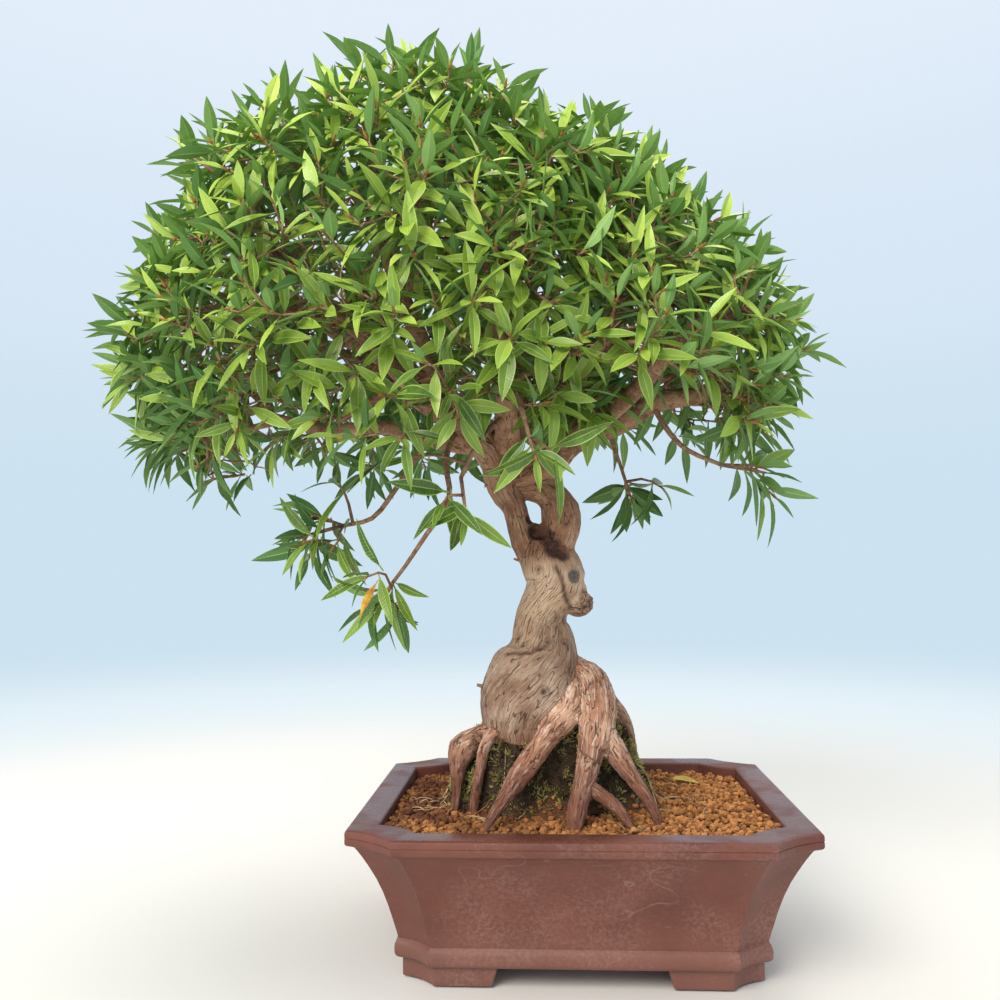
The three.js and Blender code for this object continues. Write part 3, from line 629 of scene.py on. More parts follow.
def make_piece(name, bm, material, slot, *nodes, smooth=True):
    """The same from a bmesh in millimetres round the pot."""
    bmesh.ops.transform(bm, matrix=TO_FRAME, verts=bm.verts)
    return finish_mesh(name, mesh_of(bm, name), material, slot, *nodes, smooth=smooth)


# Materials

class Nodes:
    """Short names for the shader nodes that the finishes are made of."""

    def __init__(self, name):
        self.material = bpy.data.materials.new(name)
        self.material.use_nodes = True
        self.tree = self.material.node_tree
        self.shader = self.tree.nodes["Principled BSDF"]
        self.place = self.tree.nodes.new("ShaderNodeTexCoord").outputs["Object"]

    def put(self, socket, value):
        """Gives an input another node's output, a colour or a plain value."""
        if isinstance(value, bpy.types.NodeSocket):
            self.tree.links.new(value, socket)
        elif isinstance(value, tuple) and len(value) == 3 and socket.type == "RGBA":
            socket.default_value = (*value, 1)
        else:
            socket.default_value = value

    def node(self, kind, inputs, **settings):
        """A new node with its settings and with some inputs by name or number."""
        node = self.tree.nodes.new(kind)
        for name, value in settings.items():
            setattr(node, name, value)
        for name, value in inputs.items():
            self.put(node.inputs[name], value)
        return node

    def math(self, operation, *values):
        """The outcome of one operation."""
        inputs = dict(enumerate(values))
        return self.node("ShaderNodeMath", inputs, operation=operation).outputs[0]

    def times(self, first, second):
        """The product of two values."""
        return self.math("MULTIPLY", first, second)

    def off_middle(self, value):
        """How far a value is from 0.5. It is low along a line, which cracks are drawn on."""
        return self.math("ABSOLUTE", self.math("SUBTRACT", value, 0.5))

    def stretched(self, scale):
        """Places with each axis scaled by itself."""
        return self.node("ShaderNodeMapping", {"Vector": self.place, "Scale": scale}).outputs[0]

    def noise(self, scale, detail=3, rough=0.55, place=None, warp=0):
        """Noise with a scale in cells to the metre."""
        inputs = {"Vector": place or self.place, "Scale": scale, "Detail": detail,
                  "Roughness": rough, "Distortion": warp}
        return self.node("ShaderNodeTexNoise", inputs).outputs["Fac"]

    def between(self, value, low, high, start=0, end=1):
        """Runs softly from start to end as a value runs from low to high."""
        inputs = {"Value": value, "From Min": low, "From Max": high, "To Min": start, "To Max": end}
        node = self.node("ShaderNodeMapRange", inputs, clamp=True, interpolation_type="SMOOTHSTEP")
        return node.outputs[0]

    def mix(self, share, first, second):
        """The first colour with a share of the second."""
        inputs = {0: share, 6: first, 7: second}
        return self.node("ShaderNodeMix", inputs, data_type="RGBA").outputs[2]

    def tints(self, colour, *rows):
        """A colour with others mixed in. A row is (value, low, high, start, end, colour), and
        the share of its colour runs from start to end as the value runs from low to high."""
        for value, low, high, start, end, other in rows:
            colour = self.mix(self.between(value, low, high, start, end), colour, rgb(*other))
        return colour

    def attribute(self, name, output="Fac"):
        """A value that the mesh carries at each vertex."""
        return self.node("ShaderNodeAttribute", {}, attribute_name=name).outputs[output]

    def split(self, vector):
        """The three parts of a vector."""
        return self.node("ShaderNodeSeparateXYZ", {0: vector}).outputs

    def bump(self, height, depth, normal=None):
        """Bump with its depth in millimetres, on top of another one if that is given."""
        inputs = {"Strength": 1, "Distance": depth * MM, "Height": height}
        if normal:
            inputs["Normal"] = normal
        return self.node("ShaderNodeBump", inputs).outputs[0]

    def finish(self, colour, rough, normal=None, **fixed):
        """The material, once its colour and other inputs are in place."""
        self.put(self.shader.inputs["Base Color"], colour)
        self.put(self.shader.inputs["Roughness"], rough)
        if normal:
            self.put(self.shader.inputs["Normal"], normal)
        for name, value in fixed.items():
            self.shader.inputs[name.replace("_", " ")].default_value = value
        return self.material


def rgb(*levels):
    """A colour from its red, green and blue screen values of 0 to 255."""
    return tuple(((level / 255 + 0.055) / 1.055) ** 2.4 if level > 10 else level / 3294
                 for level in levels)


def clay_finish():
    """Red brown clay: fine specks, faint chalky lines, pale dust and a damp rim."""
    n = Nodes("unglazed_clay")
    height = n.split(n.place)[2]
    patches = n.noise(14, 4, 0.6)
    fine = n.noise(420, 5, 0.7)
    colour = n.mix(n.between(patches, 0.3, 0.7), rgb(97, 51, 39), rgb(118, 66, 52))
    colour = n.tints(colour,
                     (fine, 0.52, 0.75, 0, 0.22, (164, 114, 96)),
                     (fine, 0.44, 0.3, 0, 0.25, (84, 44, 36)),
                     (height, 0.012, 0.045, 0.3, 0, (150, 108, 94)))
    for scale, stretch, spread in ((9, (1, 1, 1.7), 0.0035), (21, (1, 1, 2.4), 0.003)):
        drift = n.noise(scale, 2, 0.5, n.stretched(stretch), 1.8)
        line = n.between(n.off_middle(drift), 0, spread, 1, 0)
        chalk = n.times(n.times(line, n.between(n.noise(11, 2), 0.52, 0.62)), 0.18)
        colour = n.mix(chalk, colour, rgb(196, 168, 156))
    dust = n.between(n.noise(6, 3, 0.6), 0.55, 0.72, 0, 0.2)
    colour = n.mix(n.times(dust, n.between(fine, 0.4, 0.6)), colour, rgb(186, 156, 146))
    wet = n.between(n.noise(18, 3), 0.4, 0.56)
    soaked = n.times(n.between(height, 0.0985, 0.0997), wet)
    colour = n.mix(n.times(soaked, 0.35), colour, rgb(92, 56, 50))
    rough = n.math("SUBTRACT", n.between(fine, 0.2, 0.8, 0.46, 0.62), n.times(soaked, 0.26))
    return n.finish(colour, rough, n.bump(n.noise(70, 3), 0.5, n.bump(fine, 0.22)))


def bark_finish():
    """Thin bark: pale on the swollen base, browner above, red brown and flaking on the roots, with painted
    shade darkening it towards the soil, in its grooves and cracks and in its hollows.
    """
    n = Nodes("bark")
    height = n.split(n.place)[2]
    root = n.attribute("root")
    flow = n.attribute("flow", "Vector")
    patches = n.between(n.noise(26, 4, 0.6), 0.35, 0.65)

    def mottled(share, dark, light):
        return n.mix(share, rgb(*dark), rgb(*light))

    colour = mottled(patches, (128, 94, 70), (182, 152, 128))
    for low, high, dark, light in ((0.194, 0.212, (140, 104, 78), (182, 148, 118)),
                                   (0.222, 0.242, (184, 146, 116), (224, 188, 154)),
                                   (0.258, 0.278, (146, 98, 68), (192, 146, 110))):
        colour = n.mix(n.between(height, low, high), colour, mottled(patches, dark, light))
    reddish = mottled(patches, (184, 128, 98), (230, 184, 152))
    colour = n.mix(n.times(root, n.between(height, 0.19, 0.12, 0.7, 1)), colour, reddish)
    # Darker and browner towards the soil: painted shade under the swollen base and low on the roots
    colour = n.tints(colour,
                     (height, 0.16, 0.135, 0, 0.6, (150, 96, 66)),
                     (height, 0.15, 0.112, 0, 0.75, (116, 62, 42)))

    # Grooves and pale ridges that follow the wood, and dark cracks that wander along it; the dark in the
    # grooves and cracks is painted shade
    streaks = n.mix(root, n.noise(1050, 3, 0.6, flow, 0.4), n.noise(430, 5, 0.7, flow, 0.4))
    flakes = n.mix(root, n.noise(420, 4, 0.65, flow, 0.7), n.noise(360, 4, 0.65, flow, 0.7))
    depth = n.times(n.between(streaks, 0.5, 0.38), n.math("MULTIPLY_ADD", root, 0.5, 0.3))
    colour = n.mix(depth, colour, mottled(root, (98, 64, 44), (104, 54, 36)))
    pale = n.times(n.math("MULTIPLY_ADD", root, 0.35, 0.2), n.between(height, 0.11, 0.155, 0.3, 1))
    pale = n.times(n.between(flakes, 0.51, 0.62), pale)
    colour = n.mix(pale, colour, mottled(root, (236, 214, 192), (244, 216, 194)))
    crack = n.between(n.off_middle(n.noise(290, 1.5, 0.5, flow, 0.35)), 0.004, 0.017, 1, 0)
    crack = n.times(crack, n.between(n.noise(60, 2), 0.3, 0.44))
    colour = n.mix(n.times(crack, 0.9), colour, rgb(78, 48, 32))
    specks = n.noise(900, 2, 0.5)
    colour = n.tints(colour, (specks, 0.6, 0.75, 0, 0.35, (118, 84, 60)))

    # The marks that mark_bark leaves. The hollows, knot middles and creases are darkened with painted
    # shade.
    gnarl = n.times(n.attribute("rough"), n.between(n.noise(320, 3, 0.7), 0.4, 0.58, 0.95, 0.35))
    colour = n.mix(gnarl, colour, rgb(84, 58, 42))
    grey = mottled(n.between(specks, 0.4, 0.6), (72, 66, 62), (118, 106, 96))
    colour = n.mix(n.attribute("scar"), colour, grey)
    deep = mottled(n.between(n.noise(190, 3), 0.5, 0.62), (50, 26, 18), (112, 62, 42))
    colour = n.mix(n.times(n.attribute("hollow"), 0.9), colour, deep)

    relief = n.math("ADD", streaks, n.times(flakes, 0.9))
    relief = n.times(relief, n.math("MULTIPLY_ADD", root, 0.6, 0.4))
    normal = n.bump(n.math("SUBTRACT", relief, n.times(crack, 0.5)), 1.7)
    return n.finish(colour, n.between(specks, 0.3, 0.7, 0.68, 0.86), n.bump(specks, 0.25, normal))


def twig_finish():
    """Bark of the branches and young wood, with orange brown buds at the tips."""
    n = Nodes("twig_bark")
    patches = n.noise(60, 3, 0.6)
    rings = n.noise(330, 4, 0.7, None, 0.6)
    colour = n.mix(n.between(patches, 0.35, 0.65), rgb(132, 94, 68), rgb(176, 136, 104))
    colour = n.tints(colour,
                     (rings, 0.48, 0.36, 0, 0.65, (84, 54, 36)),
                     (rings, 0.54, 0.66, 0, 0.5, (204, 168, 136)))
    colour = n.mix(n.attribute("bud"), colour, rgb(164, 108, 58))
    return n.finish(colour, 0.75, n.bump(rings, 0.9))


def leaf_finish():
    """Leaf: u runs across it, 0 to 1 on the face and 1 to 2 below, and v along it."""
    n = Nodes("leaf")
    u, v, _ = n.split(n.node("ShaderNodeUVMap", {}, uv_map="leaf").outputs[0])
    below = n.math("GREATER_THAN", u, 1.0)
    across = n.times(n.off_middle(n.math("FRACT", u)), 2)
    tone = n.attribute("tone")
    mottle = n.noise(160, 3, 0.5)
    rib = n.between(across, 0.04, 0.11, 0.55, 0)
    slant = n.times(n.math("ADD", v, n.times(across, -0.05)), 17)
    vein = n.between(n.off_middle(n.math("FRACT", slant)), 0.0, 0.14, 1, 0)

    deep = n.mix(tone, rgb(46, 80, 22), rgb(156, 182, 58))
    fresh = n.mix(tone, rgb(152, 182, 48), rgb(192, 212, 86))
    face = n.mix(n.attribute("young"), deep, fresh)
    face = n.tints(face,
                   (mottle, 0.3, 0.7, 0, 0.15, (136, 176, 76)),
                   (across, 0.8, 0.92, 0, 0.6, (184, 212, 116)))
    face = n.mix(rib, face, rgb(188, 214, 118))
    face = n.mix(n.times(vein, 0.16), face, rgb(150, 188, 92))
    back = n.mix(tone, rgb(86, 130, 66), rgb(146, 184, 102))
    back = n.mix(rib, back, rgb(194, 214, 140))
    colour = n.tints(n.mix(below, face, back), (v, 0.1, 0.15, 1, 0, (150, 160, 78)))
    turned = n.mix(n.between(mottle, 0.4, 0.6), rgb(222, 176, 52), rgb(206, 124, 38))
    colour = n.mix(n.attribute("spoiled"), colour, turned)
    relief = n.math("SUBTRACT", n.times(vein, -0.25), rib)
    rough = n.mix(below, n.between(mottle, 0.3, 0.7, 0.26, 0.4), (0.62, 0.62, 0.62))
    return n.finish(colour, rough, n.bump(relief, 0.3))


def soil_finish(name, dark, light):
    """Baked clay, darker and damper on the left, with dark crumbs on the old root ball."""
    n = Nodes(name)
    fine = n.noise(1100, 4, 0.65)
    colour = n.mix(n.attribute("tone"), rgb(*dark), rgb(*light))
    colour = n.tints(colour,
                     (fine, 0.45, 0.7, 0, 0.45, (216, 160, 92)),
                     (fine, 0.45, 0.3, 0, 0.55, (96, 54, 24)))
    left = n.between(n.split(n.place)[0], 0.11, -0.01)
    damp = n.times(left, n.between(n.noise(24, 2), 0.3, 0.6))
    colour = n.mix(n.times(damp, 0.9), colour, rgb(84, 42, 22))
    crumbs = n.mix(n.between(fine, 0.35, 0.65), rgb(22, 16, 10), rgb(70, 52, 28))
    colour = n.mix(n.attribute("moss"), colour, crumbs)
    return n.finish(colour, 0.92, n.bump(fine, 0.5))


def moss_finish():
    """Moss leaflets, dark at the foot and yellow green at the tip."""
    n = Nodes("moss")
    tone = n.attribute("tone")
    foot = n.mix(tone, rgb(26, 18, 10), rgb(88, 72, 34))
    tip = n.mix(tone, rgb(84, 56, 34), rgb(222, 214, 126))
    return n.finish(n.mix(n.attribute("tip"), foot, tip), 0.9)


def straw_finish():
    """Dry rootlets, from brown to straw."""
    n = Nodes("rootlet")
    colour = n.mix(n.attribute("tone"), rgb(124, 84, 52), rgb(222, 194, 148))
    return n.finish(colour, 0.8, n.bump(n.noise(800, 2), 0.2))


def netting_finish():
    """Dull dark plastic."""
    n = Nodes("netting")
    colour = n.mix(n.noise(300, 2), rgb(38, 42, 38), rgb(56, 60, 56))
    return n.finish(colour, 0.6, n.bump(n.noise(900, 2), 0.1))


# Pot

def outline_at(reach):
    """The pot's outline at one reach: straight sides and shallow hollow corners."""
    half_width = reach
    half_depth = reach - (POT_WIDTH - POT_DEPTH) / 2
    share = (reach - FOOT_REACH) / (POT_WIDTH / 2 - FOOT_REACH)
    cut_x = lerp(CORNER_CUT_FOOT[0], CORNER_CUT_RIM[0], share)
    cut_y = lerp(CORNER_CUT_FOOT[1], CORNER_CUT_RIM[1], share)
    pull = 1 - CORNER_HOLLOW / math.hypot(cut_x, cut_y)
    spots = []
    for sign_x, sign_y in CORNERS:
        start = Vector((sign_x * (half_width - cut_x), sign_y * half_depth))
        end = Vector((sign_x * half_width, sign_y * (half_depth - cut_y)))
        middle = Vector((sign_x * (half_width - cut_x / 2 - CORNER_HOLLOW * pull),
                         sign_y * (half_depth - cut_y / 2 - CORNER_HOLLOW * pull)))
        if sign_x * sign_y > 0:
            start, end = end, start
        spots.extend(bent_between(start, middle, end, CORNER_STEPS))
    return spots


def even_outline(reach, spacing):
    """The outline with its straight sides cut into steps of about one spacing."""
    corners = outline_at(reach)
    rim = outline_at(POT_WIDTH / 2)
    spots = []
    for index, spot in enumerate(corners):
        after = corners[(index + 1) % len(corners)]
        steps = max(round((rim[(index + 1) % len(rim)] - rim[index]).length / spacing), 1)
        spots.extend(spot.lerp(after, step / steps) for step in range(steps))
    return spots


def lathe_on_outline(bm, rows, spacing, relief=None):
    """Rings of the pot's outline, each extruded from the one before. A row is (reach,
    height, share), and the share draws it in towards the middle."""
    def spots_of(reach, height, share):
        for spot in even_outline(reach, spacing):
            x, y = spot.x * share, spot.y * share
            yield Vector((x, y, relief(x, y, height) if relief else height))

    first = [bm.verts.new(spot) for spot in spots_of(*rows[0])]
    ring = [bm.edges.new((a, b)) for a, b in zip(first, first[1:] + first[:1])]
    bm.faces.new(reversed(first))
    verts = first
    for row in rows[1:]:
        grown, ring = extrude_ring(bm, ring)
        new = set(grown)
        verts = [next(edge.other_vert(vert) for edge in vert.link_edges
                      if edge.other_vert(vert) in new) for vert in verts]
        for vert, spot in zip(verts, spots_of(*row)):
            vert.co = spot
    bm.faces.new(verts)


def make_pot(material):
    """The pot's body from one turned profile, with its drain holes and feet."""
    bm = bmesh.new()
    lathe_on_outline(bm, [(*row, 1) for row in BELT + FLARE + RIM + INSIDE], SIDE_STEP)
    cut_drains(bm)
    bmesh.ops.recalc_face_normals(bm, faces=bm.faces)
    feet = mesh_of(make_feet(), "feet")
    bm.from_mesh(feet)
    bpy.data.meshes.remove(feet)
    smooth_below(bm, SHARP_ANGLE)
    return make_piece("pot_body", bm, material, "unglazed_clay", "pot", smooth=False)


def cut_drains(bm):
    """Two round drain holes through the floor, from its flat top to its flat underside."""
    levels = []
    flats = [face for face in bm.faces if len(face.verts) > 4]
    for face in flats:
        height = face.calc_center_median().z
        edges = list(face.edges)
        bmesh.ops.delete(bm, geom=[face], context="FACES_ONLY")
        rings = []
        for sign in (-1, 1):
            place = Matrix.Translation((sign * DRAIN_SPACING / 2, 0, height))
            verts = bmesh.ops.create_circle(
                bm, segments=DRAIN_STEPS, radius=DRAIN_RADIUS, matrix=place)["verts"]
            rings.append(edges_of(verts))
            edges += rings[-1]
        bmesh.ops.triangle_fill(bm, use_beauty=True, edges=edges)
        levels.append(rings)
    for low, high in zip(*levels):
        bmesh.ops.bridge_loops(bm, edges=low + high)


def make_feet():
    """Four corner feet: a ring under the belt, cut by two sloped channels and eased."""
    bm = bmesh.new()
    for reach in (FOOT_REACH, FOOT_REACH - FOOT_RING):
        verts = [bm.verts.new((spot.x, spot.y, 0)) for spot in outline_at(reach)]
        for start, end in zip(verts, verts[1:] + verts[:1]):
            bm.edges.new((start, end))
    bmesh.ops.bridge_loops(bm, edges=list(bm.edges))
    for axis, side in enumerate(CHANNEL_SIDES):
        for sign in (-1, 1):
            normal = Vector((0, 0, 0))
            normal[axis] = sign
            bmesh.ops.bisect_plane(bm, geom=bm.verts[:] + bm.edges[:] + bm.faces[:],
                                   plane_co=normal * side, plane_no=normal)
    middle = [face for face in bm.faces if in_channel(face.calc_center_median())]
    bmesh.ops.delete(bm, geom=middle, context="FACES")
    grown = bmesh.ops.extrude_face_region(bm, geom=bm.faces[:])["geom"]
    top = of_kind(grown, bmesh.types.BMVert)
    bmesh.ops.translate(bm, vec=(0, 0, FOOT_HEIGHT + FOOT_OVERLAP), verts=top)
    for vert in top:
        for axis, side in enumerate(CHANNEL_SIDES):
            if abs(abs(vert.co[axis]) - side) < ON_PLANE:
                vert.co[axis] -= math.copysign(FOOT_SLOPE, vert.co[axis])
    bmesh.ops.recalc_face_normals(bm, faces=bm.faces)
    low = [edge for edge in bm.edges if all(vert.co.z < ON_PLANE for vert in edge.verts)
           and edge.calc_face_angle(0) > 0.8]
    upright = [edge for edge in bm.edges
               if abs(edge.verts[0].co.z - edge.verts[1].co.z) > FOOT_HEIGHT / 2
               and edge.calc_face_angle(0) > 0.6]
    bmesh.ops.bevel(bm, geom=low + upright, offset=FOOT_EASE, offset_type="OFFSET", segments=3,
                    profile=0.5, affect="EDGES", material=-1)
    return bm


def in_channel(place):
    """Whether a place is in one of the channels that part the feet."""
    return any(abs(place[axis]) < side for axis, side in enumerate(CHANNEL_SIDES))


# Soil

def mound_reach(x, y):
    """How far out on the old root ball a place is, 1 near its foot."""
    across = (x - MOUND_MIDDLE[0]) / MOUND_SPREAD[0]
    along = (y - MOUND_MIDDLE[1]) / MOUND_SPREAD[1]
    return math.hypot(across, along)


def soil_height(x, y):
    """Level in the pot, raised in a mound by the old root ball."""
    level = lerp(SOIL_FRONT, SOIL_BACK, y / POT_DEPTH + 0.5)
    share = clamped((mound_reach(x, y) - MOUND_WALL[0]) / (MOUND_WALL[1] - MOUND_WALL[0]))
    ripple = SOIL_RIPPLE * math.sin(x * 0.21 + y * 0.13) * math.cos(y * 0.19 - x * 0.07)
    return level + MOUND_HEIGHT * (1 - eased(share)) + ripple


def soil_normal(x, y):
    """The way that faces straight out of the soil at a place."""
    step = SLOPE_STEP
    slope_x = (soil_height(x + step, y) - soil_height(x - step, y)) / (2 * step)
    slope_y = (soil_height(x, y + step) - soil_height(x, y - step)) / (2 * step)
    return Vector((-slope_x, -slope_y, 1)).normalized()


def moss_share(x, y):
    """How far the old root ball's moss covers a place on the soil, 0 to 1."""
    patchy = uneven(Vector((x, y, 3)), *MOSS_PATCHES)
    return clamped((MOSS_EDGE - mound_reach(x, y)) * MOSS_FADE + patchy)


def make_soil_bed(material):
    """The bed that the loose grains lie on, a little below their tops, darker than the grains as painted
    shade in the gaps between them.
    """
    bm = layered_bmesh("tone", "moss")

    def relief(x, y, height):
        if height != POT_HEIGHT:
            return height
        crumb = uneven(Vector((x, y, 0)), *CRUMBS_COARSE) + uneven(Vector((x, y, 9)), *CRUMBS_FINE)
        return soil_height(x, y) - BED_DEPTH + crumb * (1 + moss_share(x, y))

    rim = RIM_INNER - WALL_GAP
    rows = [(INSIDE[-1][0] - WALL_GAP, FLOOR_TOP + GAP, 1)]
    rows += [(reach - WALL_GAP, height, 1) for reach, height in reversed(INSIDE[:-1])]
    rows += [(rim, BED_EDGE, 1)]
    rows += [(rim, POT_HEIGHT, ring / BED_RINGS) for ring in range(BED_RINGS, 0, -1)]
    lathe_on_outline(bm, rows, BED_STEP, relief)
    tone, moss = (bm.verts.layers.float[name] for name in ("tone", "moss"))
    for vert in bm.verts:
        vert[tone] = 0.3 + uneven(vert.co, *BED_PATCHES)
        vert[moss] = moss_share(vert.co.x, vert.co.y)
    bmesh.ops.recalc_face_normals(bm, faces=bm.faces)
    return make_piece("soil_bed", bm, material, "baked_clay_soil", "soil")


def inside_pot(x, y, margin):
    """Whether a place on the soil is inside the rim and its cut corners."""
    half_width = RIM_INNER - margin
    half_depth = half_width - (POT_WIDTH - POT_DEPTH) / 2
    if abs(x) > half_width or abs(y) > half_depth:
        return False
    cut_x, cut_y = (cut + CORNER_MARGIN for cut in CORNER_CUT_FOOT)
    return (abs(x) - half_width + cut_x) / cut_x + (abs(y) - half_depth + cut_y) / cut_y < 1


def grain_shapes(draw):
    """A few lumpy grains, each a closed mesh about 1 mm in radius."""
    shapes = []
    for index in range(GRAIN_SHAPES):
        bm = bmesh.new()
        bmesh.ops.create_cube(bm, size=1)
        bmesh.ops.subdivide_edges(bm, edges=bm.edges[:], cuts=1, use_grid_fill=True)
        for vert in bm.verts:
            vert.co = vert.co.normalized().lerp(vert.co, GRAIN_SQUARENESS)
            lump = noise.noise(vert.co * GRAIN_LUMPS[0] + Vector((index * 7, 0, 0)))
            rough = noise.noise(vert.co * GRAIN_ROUGHNESS[0] + Vector((0, index * 5, 0)))
            vert.co *= GRAIN_SIZE + GRAIN_LUMPS[1] * lump + GRAIN_ROUGHNESS[1] * rough
        squash = [draw.uniform(*span) for span in GRAIN_SQUASH]
        bmesh.ops.scale(bm, vec=squash, verts=bm.verts)
        shapes.append(bm)
    return shapes


def scatter(bm, scratch, shape, matrix, values):
    """Adds one placed copy of a small shape, with a value for each named vertex layer."""
    copy = shape.copy()
    bmesh.ops.transform(copy, matrix=matrix, verts=copy.verts)
    set_values(copy, values)
    copy.to_mesh(scratch)
    copy.free()
    bm.from_mesh(scratch)


def random_turn(draw):
    """A turn about X and one about Z."""
    tilt = Matrix.Rotation(draw.uniform(0, TURN), 4, "X")
    return tilt @ Matrix.Rotation(draw.uniform(0, TURN), 4, "Z")


def make_grains(material):
    """Loose grains in a shaken grid over the soil, fewer where the moss grows."""
    draw = random.Random(GRAIN_SEED)
    shapes = grain_shapes(draw)
    scratch = bpy.data.meshes.new("grain")
    halves = [layered_bmesh("tone"), layered_bmesh("tone")]
    row_step = GRAIN_SPACING * math.sqrt(0.75)
    rows = int(POT_DEPTH / 2 / row_step)
    columns = int(RIM_INNER / GRAIN_SPACING)
    for row in range(-rows, rows + 1):
        for column in range(-columns, columns + 1):
            x = (column + 0.5 * (row % 2) + draw.uniform(*GRAIN_SHAKE)) * GRAIN_SPACING
            y = row * row_step + draw.uniform(*GRAIN_SHAKE) * GRAIN_SPACING
            if not inside_pot(x, y, GRAIN_MARGIN) or draw.random() < moss_share(x, y):
                continue
            radius = lerp(*GRAIN_RADIUS, draw.random() ** 1.5)
            lift = draw.uniform(*GRAIN_LIFT) * radius - GRAIN_SINK
            place = Matrix.Translation((x, y, soil_height(x, y) + lift))
            matrix = place @ random_turn(draw) @ Matrix.Scale(radius, 4)
            scatter(halves[x > 0], scratch, draw.choice(shapes), matrix, {"tone": draw.random()})
    for bm, name in zip(halves, ("soil_grains_left", "soil_grains_right")):
        make_piece(name, bm, material, "baked_clay_soil", smooth=False)
    free_shapes(shapes, scratch)


def free_shapes(shapes, scratch):
    """Frees the small shapes and the mesh that they were copied through."""
    for shape in shapes:
        shape.free()
    bpy.data.meshes.remove(scratch)


def tuft_shape(draw):
    """A moss tuft of size 1: pointed leaflets that spread from one foot."""
    bm = layered_bmesh("tip")
    tip = bm.verts.layers.float["tip"]
    for _ in range(TUFT_LEAFLETS):
        turn = draw.uniform(0, TURN)
        lean = draw.uniform(*TUFT_LEAN)
        way = Vector((math.cos(turn) * math.sin(lean), math.sin(turn) * math.sin(lean), math.cos(lean)))
        length = draw.uniform(*LEAFLET_LENGTH)
        verts = bmesh.ops.create_cone(
            bm, cap_ends=True, segments=3, radius1=LEAFLET_FOOT, radius2=0, depth=length,
            matrix=upright_to(way) @ Matrix.Translation((0, 0, length / 2)))["verts"]
        max(verts, key=lambda vert: vert.co.length)[tip] = 1
    return bm


def make_moss(material):
    """Moss tufts over the old root ball, most of them on its steep side."""
    draw = random.Random(MOSS_SEED)
    shapes = [tuft_shape(draw) for _ in range(TUFT_SHAPES)]
    scratch = bpy.data.meshes.new("tuft")
    bm = layered_bmesh("tone", "tip")
    made = 0
    while made < TUFT_COUNT:
        x = MOUND_MIDDLE[0] + draw.uniform(*MOSS_REACH) * MOUND_SPREAD[0]
        y = MOUND_MIDDLE[1] + draw.uniform(*MOSS_REACH) * MOUND_SPREAD[1]
        normal = soil_normal(x, y)
        steep = 1 / normal.z
        if draw.random() * TUFT_STEEPEST > steep or draw.random() > moss_share(x, y):
            continue
        lean = (normal + UP * TUFT_RISE + jitter(draw, TUFT_JITTER)).normalized()
        turn = upright_to(lean) @ Matrix.Rotation(draw.uniform(0, TURN), 4, "Z")
        foot = Vector((x, y, soil_height(x, y))) - normal * draw.uniform(*TUFT_DEPTH)
        patchy = uneven(Vector((x, y, 0)), *TUFT_PATCHES)
        tone = clamped(TUFT_TONE + patchy + draw.gauss(0, TUFT_VARIETY))
        shape = draw.choice(shapes)
        size = Matrix.Scale(draw.uniform(*TUFT_SIZE), 4)
        scatter(bm, scratch, shape, Matrix.Translation(foot) @ turn @ size, {"tone": tone})
        made += 1
    free_shapes(shapes, scratch)
    return make_piece("moss", bm, material, "baked_clay_soil", smooth=False)


def add_rootlet(bm, start, turn, length, radius, draw):
    """A thin dry rootlet that wanders over the soil from one place. Returns its vertices."""
    x, y = start
    places = []
    arch = draw.uniform(*ROOTLET_ARCH) * length
    for step in range(ROOTLET_STEPS + 1):
        lift = ROOTLET_LIFT + arch * math.sin(math.pi * step / ROOTLET_STEPS)
        places.append(Vector((x, y, soil_height(x, y) + lift)))
        turn += draw.gauss(0, ROOTLET_BEND)
        x += math.cos(turn) * length / ROOTLET_STEPS
        y += math.sin(turn) * length / ROOTLET_STEPS
        if not inside_pot(x, y, ROOTLET_END_MARGIN):
            x, y = places[-1].x, places[-1].y + 0.6
    radii = tapered(radius, radius * ROOTLET_THINNEST, ROOTLET_STEPS)
    return add_tube(bm, places, radii, ROOTLET_SIDES)


def make_rootlets(material):
    """Dry rootlets in a few beds over the bare soil."""
    draw = random.Random(ROOTLET_SEED)
    bm = layered_bmesh("tone")
    tone = bm.verts.layers.float["tone"]
    for (x, y), spread, count, lengths, pale in ROOTLET_BEDS:
        for _ in range(count):
            start = (x + draw.gauss(0, spread[0]), y + draw.gauss(0, spread[1]))
            if not inside_pot(*start, ROOTLET_MARGIN) or moss_share(*start) > ROOTLET_MOSSIEST:
                continue
            shade = clamped(draw.gauss(pale, ROOTLET_VARIETY))
            turn, length, radius = (draw.uniform(*span) for span in ((0, TURN), lengths, ROOTLET_RADIUS))
            for vert in add_rootlet(bm, start, turn, length, radius, draw):
                vert[tone] = shade
    return make_piece("rootlets", bm, material, "baked_clay_soil")


# Wood

def wood_stretches():
    """Every stretch of the trunk piece, with 1 for those that are roots."""
    stretches = [(TRUNK, 0)] + [(strand, 0) for strand in STRANDS]
    stretches += [(root, 1) for root in ROOTS.values()]
    for limb in LIMBS.values():
        *stub, (x, y, z, radius) = limb[:LIMB_START + 1]
        stretches.append(([*stub, (x, y, z, radius * STUB_TAPER)], 0))
    return stretches


def remeshed(bm, voxel, smoothing):
    """One closed skin round a bmesh of overlapping solids, in metres."""
    bmesh.ops.transform(bm, matrix=TO_FRAME, verts=bm.verts)
    mesh = mesh_of(bm, "rough")
    rough = object_of(mesh, "rough")
    skin = rough.modifiers.new("skin", "REMESH")
    skin.mode = "VOXEL"
    skin.voxel_size = voxel * MM
    soften = rough.modifiers.new("soften", "SMOOTH")
    soften.factor = 0.5
    soften.iterations = smoothing
    graph = bpy.context.evaluated_depsgraph_get()
    skinned = bpy.data.meshes.new_from_object(rough.evaluated_get(graph))
    bpy.data.objects.remove(rough)
    bpy.data.meshes.remove(mesh)
    return skinned


